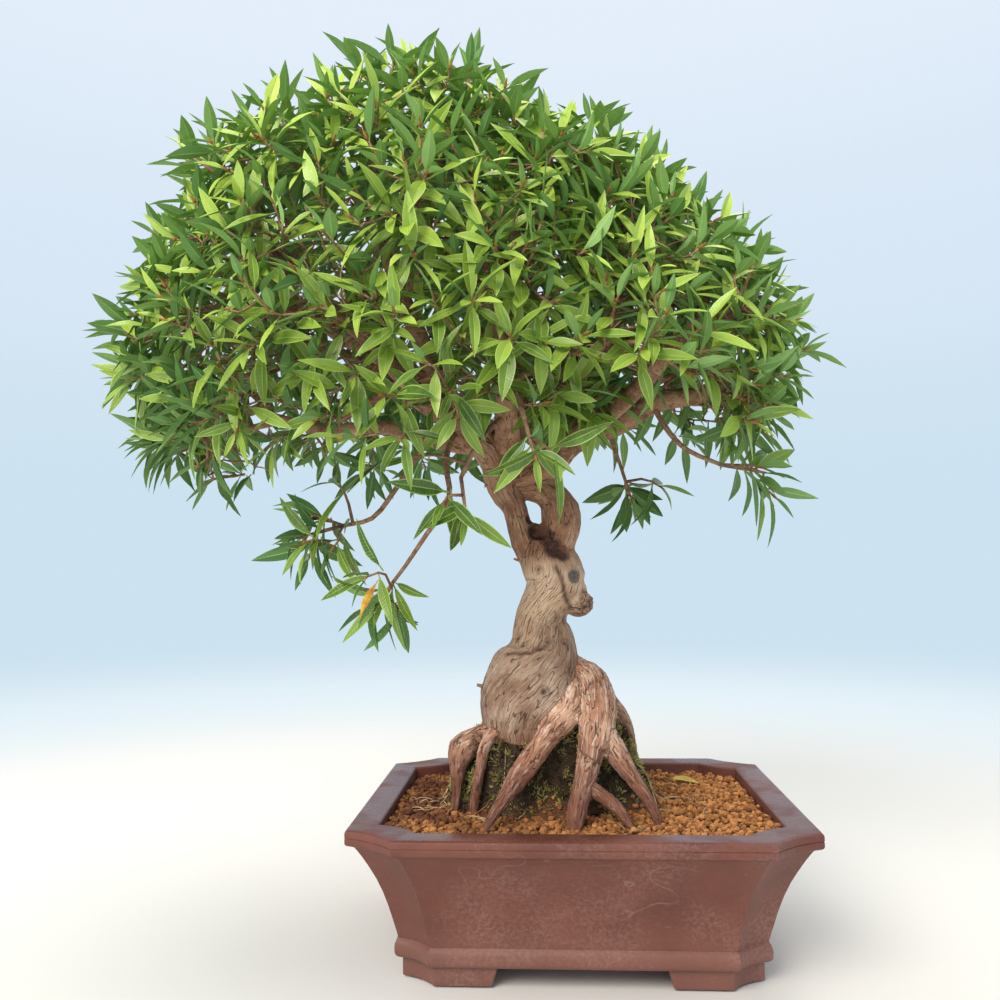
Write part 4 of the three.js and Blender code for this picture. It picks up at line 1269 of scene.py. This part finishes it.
def flow_round(places, stretch, twist):
    """A coordinate on the bark of one stretch that changes fast round it and slowly along
    it, and how far each place is from its surface."""
    centres, radii = smooth_stretch(stretch, FLOW_STEP)
    girth = sum(radii) / len(radii)
    turns = [np.array(turn.to_3x3().normalized()) for turn in ring_frames(centres, radii)]
    nearest = np.full(len(places), np.inf)
    gap = np.zeros(len(places))
    flow = np.zeros((len(places), 3))
    run = 0
    for index in range(len(centres) - 1):
        start, end = np.array(centres[index]), np.array(centres[index + 1])
        axis = end - start
        length = np.linalg.norm(axis)
        share = np.clip((places - start) @ axis / (length * length), 0, 1)
        away = places - start - share[:, None] * axis
        reach = np.linalg.norm(away, axis=1)
        here = reach < nearest
        nearest[here] = reach[here]
        part = share[here][:, None]
        across = turns[index][:, 0] * (1 - part) + turns[index + 1][:, 0] * part
        third = turns[index][:, 1] * (1 - part) + turns[index + 1][:, 1] * part
        along = run + share[here] * length
        angle = np.arctan2((away[here] * third).sum(1), (away[here] * across).sum(1)) - twist * along
        flow[here] = np.stack((np.cos(angle) * girth, np.sin(angle) * girth, along * FLOW_STRETCH), axis=1)
        gap[here] = reach[here] - lerp(radii[index], radii[index + 1], share[here])
        run += length
    return flow, gap


def nearest_stretch(places, stretches):
    """For each place: the flow coordinate of its nearest stretch and whether that is a root."""
    best = np.full(len(places), np.inf)
    root = np.zeros(len(places))
    flow = np.zeros((len(places), 3))
    for number, (stretch, is_root) in enumerate(stretches):
        its_flow, gap = flow_round(places, stretch, 0 if number else BULB_TWIST)
        nearer = gap < best
        best[nearer] = gap[nearer]
        root[nearer] = is_root
        flow[nearer] = its_flow[nearer] + np.array((number * FLOW_APART, 0, 0))
    return flow, root


def on_bark(places, spot):
    """The place on the bark that the camera sees where it looks at a spot."""
    eye = np.array(CAMERA_PLACE)
    way = np.array(spot) - eye
    way /= np.linalg.norm(way)
    ahead = (places - eye) @ way
    beside = np.linalg.norm(places - eye - ahead[:, None] * way, axis=1)
    near = beside < max(beside.min() + 0.3, SIGHT_WIDTH)
    return places[near][np.argmin(ahead[near])]


def bell(reach, width, middle=0, power=2):
    """1 at the middle and near 0 beyond the width, with a flatter top at a higher power."""
    return np.exp(-((reach - middle) / width) ** power)


def mark_bark(places, move):
    """Adds the knots, hollows, scars, burls and creases. Returns their masks, of which the hollow mask
    places painted shade in the hollows, knot middles and creases.
    """
    masks = {name: np.zeros(len(places)) for name in ("hollow", "scar", "rough")}

    def mark(name, values):
        masks[name] = np.maximum(masks[name], values)

    def around(spots):
        """The size of each spot, and how many times that size away each place is."""
        for *spot, size in spots:
            yield size, np.linalg.norm(places - on_bark(places, spot), axis=1) / size

    for size, reach in around(KNOTS):
        move += 0.3 * size * bell(reach, 0.4, 0.95)
        move -= 0.34 * size * bell(reach, 0.5)
        mark("hollow", bell(reach, 0.65, power=4))
        mark("rough", 0.7 * bell(reach, 0.35, 1.1))
    for size, reach in around(HOLLOWS):
        move -= 0.5 * size * bell(reach, 0.75)
        mark("hollow", bell(reach, 0.9, power=8))
    for size, reach in around(SCARS):
        move += 0.2 * size * bell(reach, 0.25, 1.05)
        mark("scar", 1 / (1 + np.exp((reach - 0.95) * 14)))
    for size, reach in around(BURLS):
        mark("rough", bell(reach, 0.9, power=4))
        move += 2.4 * bell(reach, 0.9, power=4) * noise_at(places, 0.4, 6)
    for crease in CREASES:
        line = [on_bark(places, spot) for spot in crease]
        for start, end in zip(line, line[1:]):
            axis = end - start
            share = np.clip((places - start) @ axis / (axis @ axis), 0, 1)
            gap = np.linalg.norm(places - start - share[:, None] * axis, axis=1)
            move -= 0.6 * bell(gap, CREASE_WIDTH)
            mark("hollow", 0.95 * bell(gap, CREASE_WIDTH))
    return masks


def add_stubs(places, material):
    """Short broken twigs that stand out from the trunk's left side."""
    bm = bmesh.new()
    for x, y, z, radius, length in STUBS:
        foot = Vector(on_bark(places, (x, y, z)))
        ends = [foot + STUB_HEADING * reach for reach in (-2, length * 0.5, length)]
        add_tube(bm, ends, [radius, radius * 0.9, radius * 0.75], 7)
    return make_piece("twig_stubs", bm, material, "bark", "trunk_and_branches")


def noise_at(places, scale, seed):
    """Noise at each place, with a scale in cells to the millimetre."""
    offset = Vector((seed * 13.7, seed * 5.1, seed * 9.3))
    return np.array([noise.noise(Vector(place) * scale + offset) for place in places])


def vertex_rows(mesh, name):
    """The place or the normal of each vertex, one to a row."""
    flat = np.empty(len(mesh.vertices) * 3)
    mesh.vertices.foreach_get(name, flat)
    return flat.reshape(-1, 3)


def make_trunk(material):
    """The trunk, its roots and the feet of its limbs in one skin, with bark on it."""
    bm = bmesh.new()
    stretches = wood_stretches()
    for stretch, _ in stretches:
        places, radii = smooth_stretch(stretch, TUBE_STEP)
        add_tube(bm, places, radii, TUBE_SIDES)
    for x, y, z, radius, tall, deep in LUMPS:
        shape = Matrix.Diagonal((radius, radius * deep, radius * tall, 1))
        matrix = Matrix.Translation((x, y, z)) @ shape
        bmesh.ops.create_icosphere(bm, subdivisions=4, radius=1, matrix=matrix)
    mesh = remeshed(bm, SKIN_VOXEL, SKIN_SMOOTHING)
    middle = np.array(POT_MIDDLE)
    places = (vertex_rows(mesh, "co") - middle) / MM
    flow, root = nearest_stretch(places, stretches)
    move = 0.9 * noise_at(places, 0.045, 1) + 0.45 * noise_at(places, 0.16, 2)
    move += (0.3 + 0.7 * root) * noise_at(flow, 0.2, 3) + 0.4 * root * noise_at(places, 0.4, 4)
    masks = mark_bark(places, move)
    places += vertex_rows(mesh, "normal") * move[:, None]
    mesh.vertices.foreach_set("co", (places * MM + middle).reshape(-1))
    for name, values in (("root", root), *masks.items()):
        layer = mesh.attributes.new(name, "FLOAT", "POINT")
        layer.data.foreach_set("value", values)
    layer = mesh.attributes.new("flow", "FLOAT_VECTOR", "POINT")
    layer.data.foreach_set("vector", (flow * MM).reshape(-1))
    add_stubs(places, material)
    return finish_mesh("trunk", mesh, material, "bark", "trunk_and_branches")


# Crown

def crown_reach(direction):
    """How far the crown reaches from its middle in one direction."""
    flat = math.hypot(direction.x, direction.z)
    angle = math.degrees(math.atan2(direction.z, direction.x))
    if angle < CROWN_OUTLINE[0][0]:
        angle += 360
    index = 1
    while index < len(CROWN_OUTLINE) - 1 and CROWN_OUTLINE[index][0] < angle:
        index += 1
    before, after = CROWN_OUTLINE[index - 1], CROWN_OUTLINE[index]
    share = (angle - before[0]) / (after[0] - before[0])
    front = lerp(before[1], after[1], clamped(share))
    return 1 / math.hypot(flat / front, direction.y / CROWN_DEPTH)


def crown_direction(number, total, skirt):
    """One of a number of ways out of the crown's middle, spread evenly from its top down to
    the skirt."""
    height = 1 - (number + 0.5) / total * (1 - skirt)
    turn = number * GOLDEN_ANGLE
    flat = math.sqrt(1 - height * height)
    spread = Vector((math.cos(turn) * flat * CROWN_SPREAD[0],
                     math.sin(turn) * flat * CROWN_SPREAD[1],
                     height * CROWN_SPREAD[2]))
    return spread.normalized()


def limb_spots():
    """Points along the limbs that a branch can leave from, with the limb's radius."""
    spots = []
    for limb in LIMBS.values():
        points = [Vector(row[:3]) for row in limb]
        steps = (len(limb) - 1) * BRANCHES_PER_STRETCH
        for step in range(BRANCHES_PER_STRETCH, steps + 1):
            index, part = place_in_row(len(limb), step / steps)
            radius = lerp(limb[index][3], limb[index + 1][3], part)
            spots.append((curve_point(points, step / steps), radius))
    return spots


class Spray:
    """A leafy spray: its node, its foot and heading, and the branch that carries it."""

    def __init__(self, number, base, heading, places, radii, hanging):
        self.number = number
        self.base = base
        self.heading = heading
        self.branch = (places, radii)
        self.hanging = hanging
        self.tips = []


def all_sprays():
    """The sprays over the crown, then those that hang below it."""
    sprays = []
    spots = limb_spots()
    for number in range(CROWN_SPRAYS):
        heading = crown_direction(number, CROWN_SPRAYS, CROWN_SKIRT)
        base = CROWN_MIDDLE + heading * (crown_reach(heading) - SPRAY_REACH)
        behind = base - heading * BRANCH_SETBACK
        start, radius = min(spots, key=lambda spot: (spot[0] - behind).length)
        bend = base - heading * (BRANCH_BEND * (start - base).length)
        places = bent_between(start, bend, base, BRANCH_STEPS)
        radii = tapered(min(radius * 0.85, BRANCH_START), BRANCH_TIP, BRANCH_STEPS)
        sprays.append(Spray(number + 1, base, heading, places, radii, False))
    for number, (path, heading) in enumerate(HANGING, CROWN_SPRAYS + 1):
        points = [Vector(spot) for spot in path]
        steps = 3 * (len(points) - 1)
        places = [curve_point(points, step / steps) for step in range(steps + 1)]
        radii = tapered(HANGING_START, HANGING_END, steps)
        sprays.append(Spray(number, points[-1], Vector(heading).normalized(), places, radii, True))
    return sprays


def tapered(start, end, steps, power=1):
    """Radii from start to end in a number of steps."""
    return [lerp(start, end, (step / steps) ** power) for step in range(steps + 1)]


def jitter(draw, size):
    """A small random shift, with a size in each direction."""
    return Vector((draw.gauss(0, size), draw.gauss(0, size), draw.gauss(0, size)))


def share_out_tips(sprays, draw):
    """Gives each spray the shoot tips of its part of the crown as (place, lean, vigour)."""
    crown = [spray for spray in sprays if not spray.hanging]
    for total, inset, skirt, vigour in TIP_LAYERS:
        for number in range(total):
            heading = crown_direction(number, total, skirt) + jitter(draw, TIP_PLACE_JITTER)
            heading = heading.normalized()
            if heading.z < LOW_BARE_HEIGHT and draw.random() < LOW_BARE_SHARE:
                continue
            depth = draw.uniform(*inset) + lerp(*EDGE_TRIM, clamped(heading.z * 2.5))
            place = CROWN_MIDDLE + heading * (crown_reach(heading) - depth)
            rise = UP * draw.uniform(*TIP_RISE)
            lean = (heading + rise + jitter(draw, TIP_LEAN_JITTER)).normalized()
            spray = min(crown, key=lambda s: (place - s.base - s.heading * STEM_LENGTH).length)
            spray.tips.append((place, lean, vigour))
    for spray, total in zip(sprays[CROWN_SPRAYS:], HANGING_TIPS):
        for _ in range(total):
            reach = draw.uniform(*HANGING_REACH)
            way = (spray.heading + jitter(draw, HANGING_JITTER)).normalized()
            lean = (way * 0.8 + spray.heading * 0.5 - UP * 0.15).normalized()
            spray.tips.append((spray.base + way * reach, lean, HANGING_VIGOUR))


def grow_twigs(spray, draw):
    """Twigs from the spray's branch out to each of its tips, each leaving the nearest wood
    that lies behind it. Returns (places, radii, vigour) of each."""
    places, radii = spray.branch
    wood = list(zip(places[len(places) // 2:], radii[len(places) // 2:]))
    stem_end = spray.base + spray.heading * STEM_LENGTH
    stem = [spray.base, spray.base.lerp(stem_end, 0.5), stem_end]
    twigs = [(stem, [radii[-1], *STEM_RADII], 1.0)]
    wood += list(zip(stem, twigs[0][1]))
    for place, lean, vigour in sorted(spray.tips, key=lambda tip: (tip[0] - spray.base).length):
        start, start_radius = min(wood, key=lambda item: twig_cost(item[0], place, lean))
        length = (place - start).length
        bend = place - lean * TWIG_BEND * length + jitter(draw, 0.05 * length)
        steps = max(round(length / TWIG_STEP), 3)
        path = bent_between(start, bend, place, steps)
        path[1:-1] = [spot + jitter(draw, 0.5) for spot in path[1:-1]]
        thick = min(lerp(*TWIG_START, min(length / 80, 1)), start_radius * 0.9)
        sizes = tapered(thick, TWIG_TIP, steps, 0.8)
        twigs.append((path, sizes, vigour))
        wood += list(zip(path[1:], sizes[1:]))
    return twigs


def twig_cost(start, place, lean):
    """How unfit a start is for a twig to a place: far off, or not behind its lean."""
    way = place - start
    if way.length < TWIG_SHORTEST:
        return math.inf
    return way.length * (1.6 - 0.6 * way.dot(lean) / way.length)


# Leaves

def leaf_width(share):
    """Half width of a leaf at a share of its length, as a share of its widest."""
    if share < LEAF_STALK:
        return STALK_WIDTH
    reach = (share - LEAF_STALK) / (1 - LEAF_STALK)
    middle = (LEAF_WIDEST - LEAF_STALK) / (1 - LEAF_STALK)
    if reach < middle:
        return STALK_WIDTH + (1 - STALK_WIDTH) * math.sin(math.pi / 2 * reach / middle) ** 0.85
    return math.cos(math.pi / 2 * (reach - middle) / (1 - middle)) ** 0.95


def leaf_shapes(draw):
    """Leaves of length 1 along +Y with their face up, closed, and the narrowest first."""
    shapes = []
    for number in range(LEAF_SHAPES):
        width = lerp(*LEAF_WIDTH, number / (LEAF_SHAPES - 1)) / 2 / LEAF_LENGTH[1]
        bends = [draw.uniform(*span) for span in LEAF_BENDS]
        shapes.append(leaf_shape(width, *bends, draw.uniform(0, TURN)))
    return shapes


def leaf_shape(width, fold, droop, sweep, twist, wave, phase):
    """One leaf, bent out of a flat sheet that is one cell wide on each side of its rib."""
    bm, lower_verts = double_sheet()
    for vert in bm.verts:
        side = round(vert.co.x * 2)
        along = vert.co.y + 0.5
        half = width * leaf_width(along)
        x = side * half
        z = abs(side) * half * fold
        z += wave * side * math.sin(phase + along * 12) * (half / width)
        if vert in lower_verts and side == 0 and along < 0.99:
            z -= LEAF_THICKNESS / LEAF_LENGTH[1] * (1.4 - along)
        blade = max(along - LEAF_STALK, 0)
        turn = twist * blade
        x, z = (x * math.cos(turn) - z * math.sin(turn), x * math.sin(turn) + z * math.cos(turn))
        vert.co = Vector((x + sweep * blade * blade,
                          along * (1 - 0.12 * droop * along),
                          z - droop * along * along + 0.04 * along))
    bmesh.ops.remove_doubles(bm, verts=bm.verts, dist=SHORTEST)
    smooth_below(bm, LEAF_EDGE_ANGLE)
    return bm


def double_sheet():
    """Two flat sheets of size 1 back to back, u going on past 1 on the lower one. Returns
    them with the lower one's vertices."""
    bm = bmesh.new()
    uv = bm.loops.layers.uv.new("leaf")
    bmesh.ops.create_grid(bm, x_segments=2, y_segments=LEAF_STATIONS, size=0.5)
    for face in bm.faces:
        for loop in face.loops:
            loop[uv].uv = (loop.vert.co.x + 0.5, loop.vert.co.y + 0.5)
    lower = bmesh.ops.duplicate(bm, geom=bm.verts[:] + bm.edges[:] + bm.faces[:])["geom"]
    lower_faces = of_kind(lower, bmesh.types.BMFace)
    bmesh.ops.reverse_faces(bm, faces=lower_faces)
    for face in lower_faces:
        for loop in face.loops:
            loop[uv].uv.x += 1
    return bm, set(of_kind(lower, bmesh.types.BMVert))


def bud_shape():
    """A pointed bud of length 1 along +Z."""
    bm = bmesh.new()
    bmesh.ops.create_cone(bm, cap_ends=True, segments=6, radius1=0.13, radius2=0.15, depth=0.35,
                          matrix=Matrix.Translation((0, 0, 0.17)))
    cap = max(bm.faces, key=lambda face: face.calc_center_median().z)
    grown = bmesh.ops.extrude_face_region(bm, geom=[cap])["geom"]
    verts = of_kind(grown, bmesh.types.BMVert)
    bmesh.ops.delete(bm, geom=[cap], context="FACES_ONLY")
    bmesh.ops.translate(bm, vec=(0, 0, 0.65), verts=verts)
    bmesh.ops.scale(bm, vec=(0.05, 0.05, 1), verts=verts)
    return bm


def leaf_frame(place, heading, face, size):
    """A matrix that lays a leaf from its foot along a heading, with its face turned."""
    heading = heading.normalized()
    face = (face - heading * face.dot(heading)).normalized()
    return frame_at(place, heading.cross(face), heading, face, size)


def add_leaves(bm, scratch, shapes, twig, spray, draw):
    """Leaves in a spiral round the last stretch of a twig, the youngest at its tip."""
    path, _, vigour = twig
    tip = path[-1]
    axis = (path[-1] - path[-2]).normalized()
    side = axis.orthogonal().normalized()
    fewer, droop, larger = HANGING_LEAVES if spray.hanging else CROWN_LEAVES
    high = clamped((tip.z - LEAF_DARK + max(tip.x, 0) * LEAF_SUNNY) / (LEAF_BRIGHT - LEAF_DARK))
    count = round(draw.uniform(*LEAF_COUNT) * lerp(0.6, 1, vigour) * fewer)
    turn = draw.uniform(0, TURN)
    back = 0
    for number in range(count):
        age = number / max(count - 1, 1)
        turn += GOLDEN_ANGLE + draw.uniform(*TURN_SHAKE)
        outward = Matrix.Rotation(turn, 3, axis) @ side
        lean = math.radians(lerp(*LEAF_LEAN, age ** 0.8) + draw.uniform(*LEAN_SHAKE))
        heading = axis * math.cos(lean) + outward * math.sin(lean)
        heading = (heading - UP * (droop + OLDEST_DROOP * age)).normalized()
        face = (axis * 0.8 + UP * 0.6).normalized() + jitter(draw, FACE_JITTER)
        if abs(face.normalized().dot(heading)) > 0.96:
            face = outward.cross(axis)
        size = draw.uniform(*LEAF_LENGTH) * larger
        size *= lerp(YOUNG_SIZE, 1, min(age * 2, 1)) if number else YOUNGEST_SIZE
        matrix = leaf_frame(tip - axis * back, heading, face, size)
        back += draw.uniform(*LEAF_STEP)
        values = leaf_values(age, high, vigour, draw)
        choice = draw.choice(shapes if high > LEAF_SHADE else shapes[:len(shapes) // 2])
        scatter(bm, scratch, choice, matrix, values)


def leaf_values(age, high, vigour, draw):
    """How bright, how young and how yellow a leaf is, from its age and place in the crown, its brightness
    by place and vigour being painted light and shade.
    """
    young = (1.1 - age * 0.6) * vigour * draw.uniform(*YOUTH_SHAKE) * lerp(*LEAF_YOUTH, high)
    # The tone is painted light higher up and to the right, and painted shade low down and in the less
    # vigorous inner layer
    tone = draw.gauss(lerp(*LEAF_TONE, high) * vigour ** 1.5, LEAF_VARIETY)
    spoiled = draw.random() < YELLOW_SHARE
    return {"tone": clamped(tone), "young": clamped(young), "spoiled": float(spoiled)}


def add_bare_twigs(bm, spray, draw):
    """Thin leafless twigs that fork off a low branch, as in the shade inside the crown."""
    radii = tapered(*BARE_RADIUS, BARE_STEPS)
    for _ in range(BARE_TWIGS):
        start = draw.choice(spray.branch[0][2:])
        for fork in range(BARE_FORKS):
            way = (spray.heading + jitter(draw, 0.5)).normalized()
            end = start + way * draw.uniform(*BARE_LENGTH) * (0.6 if fork else 1)
            out = end - CROWN_MIDDLE
            reach = crown_reach(out.normalized()) - BARE_INSET
            end = CROWN_MIDDLE + out * min(reach / out.length, 1)
            path = bent_between(start, start.lerp(end, 0.5) + jitter(draw, 5), end, BARE_STEPS)
            path[1:] = [spot + jitter(draw, 0.8) for spot in path[1:]]
            add_tube(bm, path, radii, TWIG_SIDES)
            start = path[3 if fork else 2]


def add_bud(bm, scratch, shape, twig, draw):
    """A bud on the tip of a twig."""
    path = twig[0]
    axis = (path[-1] - path[-2]).normalized()
    size = Matrix.Scale(draw.uniform(*BUD_LENGTH), 4)
    matrix = Matrix.Translation(path[-1] - axis * 0.4) @ upright_to(axis) @ size
    scatter(bm, scratch, shape, matrix, {"bud": 1.0})


def make_foliage(leaf_material, twig_material):
    """The twigs and leaves of each spray and the two single leaves. Returns the sprays."""
    draw = random.Random(FOLIAGE_SEED)
    sprays = all_sprays()
    share_out_tips(sprays, draw)
    shapes = leaf_shapes(draw)
    bud = bud_shape()
    scratch = bpy.data.meshes.new("scratch")
    for spray in sprays:
        leaf_bm = layered_bmesh("tone", "young", "spoiled")
        leaf_bm.loops.layers.uv.new("leaf")
        twig_bm = layered_bmesh("bud")
        for twig in grow_twigs(spray, draw):
            add_tube(twig_bm, twig[0], twig[1], TWIG_SIDES)
            add_leaves(leaf_bm, scratch, shapes, twig, spray, draw)
            add_bud(twig_bm, scratch, bud, twig, draw)
        if not spray.hanging and spray.heading.z < BARE_HIGHEST:
            add_bare_twigs(twig_bm, spray, draw)
        node = f"leaf_spray_{spray.number:02d}"
        make_piece(f"leaves_{spray.number:02d}", leaf_bm, leaf_material, "leaf", node, smooth=False)
        make_piece(f"twigs_{spray.number:02d}", twig_bm, twig_material, "bark", node)
    add_single_leaf("yellow_leaf", leaf_material, shapes[2], YELLOW_LEAF)
    add_single_leaf("fallen_leaf", leaf_material, shapes[5], FALLEN_LEAF)
    free_shapes([*shapes, bud], scratch)
    return sprays


def add_single_leaf(name, material, shape, row):
    """One turned leaf: its foot, heading, face, length and how yellow it is."""
    foot, heading, face, length, yellow = row
    bm = shape.copy()
    set_values(bm, {"tone": 0.7, "young": 1.0, "spoiled": yellow})
    matrix = leaf_frame(Vector(foot), Vector(heading), Vector(face), length)
    bmesh.ops.transform(bm, matrix=matrix, verts=bm.verts)
    return make_piece(name, bm, material, "leaf", smooth=False)


def make_branches(sprays, material):
    """The limbs past their first stretch and the branches that carry the sprays."""
    bm = bmesh.new()
    for limb in LIMBS.values():
        places, radii = smooth_stretch(limb, LIMB_STEP)
        add_tube(bm, places, radii, LIMB_SIDES, round_end=True)
    for spray in sprays:
        add_tube(bm, *spray.branch, BRANCH_SIDES)
    return make_piece("branches", bm, material, "bark", "trunk_and_branches")


# Studio

def make_studio():
    """A pale floor that curves up into a round glowing backdrop, and soft lights."""
    bm = bmesh.new()
    profile = [bm.verts.new((reach, 0, height)) for reach, height in STUDIO_PROFILE]
    edges = [bm.edges.new((a, b)) for a, b in zip(profile, profile[1:])]
    bmesh.ops.spin(bm, geom=profile + edges, cent=(0, 0, 0), axis=(0, 0, 1), angle=2 * math.pi,
                   steps=FLOOR_STEPS, use_merge=True)
    bmesh.ops.remove_doubles(bm, verts=bm.verts, dist=1e-5)
    bmesh.ops.recalc_face_normals(bm, faces=bm.faces)
    mesh = mesh_of(bm, "studio_floor")
    mesh.shade_smooth()
    mesh.materials.append(studio_finish())
    floor = object_of(mesh, "studio_floor")

    world = bpy.data.worlds.new("studio")
    world.use_nodes = True
    sky = world.node_tree.nodes["Background"]
    sky.inputs["Color"].default_value = SKY_COLOUR
    sky.inputs["Strength"].default_value = SKY_STRENGTH
    bpy.context.scene.world = world
    for lamp in LAMPS:
        add_light(*lamp)


def studio_finish():
    """Lit near the tree, and glowing by itself farther out in the colours of a pale sky."""
    n = Nodes("studio")
    x, y, height = n.split(n.place)
    reach = n.math("SQRT", n.math("ADD", n.times(x, x), n.times(y, y)))
    far = n.between(reach, *FLOOR_FADE)
    glow = n.tints(rgb(232, 244, 250),
                   (reach, 1.0, 2.2, 0, 1, (205, 226, 240)),
                   (height, 0.5, 1.3, 0, 1, (216, 231, 246)),
                   (height, 1.2, 2.3, 0, 1, (227, 238, 250)))
    n.put(n.shader.inputs["Emission Color"], n.mix(far, BLACK, glow))
    colour = n.mix(far, rgb(*FLOOR_TINT), BLACK)
    return n.finish(colour, 1, Specular_IOR_Level=0, Emission_Strength=1)


def add_light(name, place, size, power):
    """A round lamp that looks at the tree."""
    data = bpy.data.lights.new(name, "AREA")
    data.shape = "DISK"
    data.size = size
    data.energy = power
    data.color = LAMP_COLOUR
    light = object_of(data, name)
    light.location = place
    light.rotation_mode = "QUATERNION"
    light.rotation_quaternion = (LAMP_TARGET - light.location).to_track_quat("-Z", "Y")


# Camera

def make_camera():
    """The camera, turned by its yaw, then its pitch, then its roll."""
    right = Vector((math.cos(CAMERA_YAW), math.sin(CAMERA_YAW), 0))
    ahead = Vector((-math.sin(CAMERA_YAW), math.cos(CAMERA_YAW), 0))
    view = ahead * math.cos(CAMERA_PITCH) + UP * math.sin(CAMERA_PITCH)
    over = UP * math.cos(CAMERA_PITCH) - ahead * math.sin(CAMERA_PITCH)
    side = right * math.cos(CAMERA_ROLL) + over * math.sin(CAMERA_ROLL)
    top = over * math.cos(CAMERA_ROLL) - right * math.sin(CAMERA_ROLL)
    data = bpy.data.cameras.new("camera")
    data.lens = CAMERA_LENS
    data.sensor_width = CAMERA_SENSOR
    data.clip_start = 0.02
    camera = object_of(data, "camera")
    camera.matrix_world = frame_at(TO_FRAME @ Vector(CAMERA_PLACE), side, top, -view, 1)
    bpy.context.scene.camera = camera


make_camera()
make_studio()
bpy.context.scene.view_settings.view_transform = "Standard"

clay = clay_finish()
bark = bark_finish()
twig_bark = twig_finish()
leaf = leaf_finish()
# The bed is darker than the loose grains: painted shade in the gaps between them
bed_soil = soil_finish("soil_bed", (62, 34, 16), (108, 62, 30))
loose_soil = soil_finish("loose_grains", (104, 52, 20), (208, 142, 80))
moss = moss_finish()
straw = straw_finish()
netting = netting_finish()

for node in ("drain_mesh_left", "drain_mesh_right"):
    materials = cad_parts[node].data.materials
    materials.clear()
    materials.append(netting)

make_pot(clay)
make_soil_bed(bed_soil)
make_grains(loose_soil)
make_moss(moss)
make_rootlets(straw)
make_trunk(bark)
sprays = make_foliage(leaf, twig_bark)
make_branches(sprays, twig_bark)
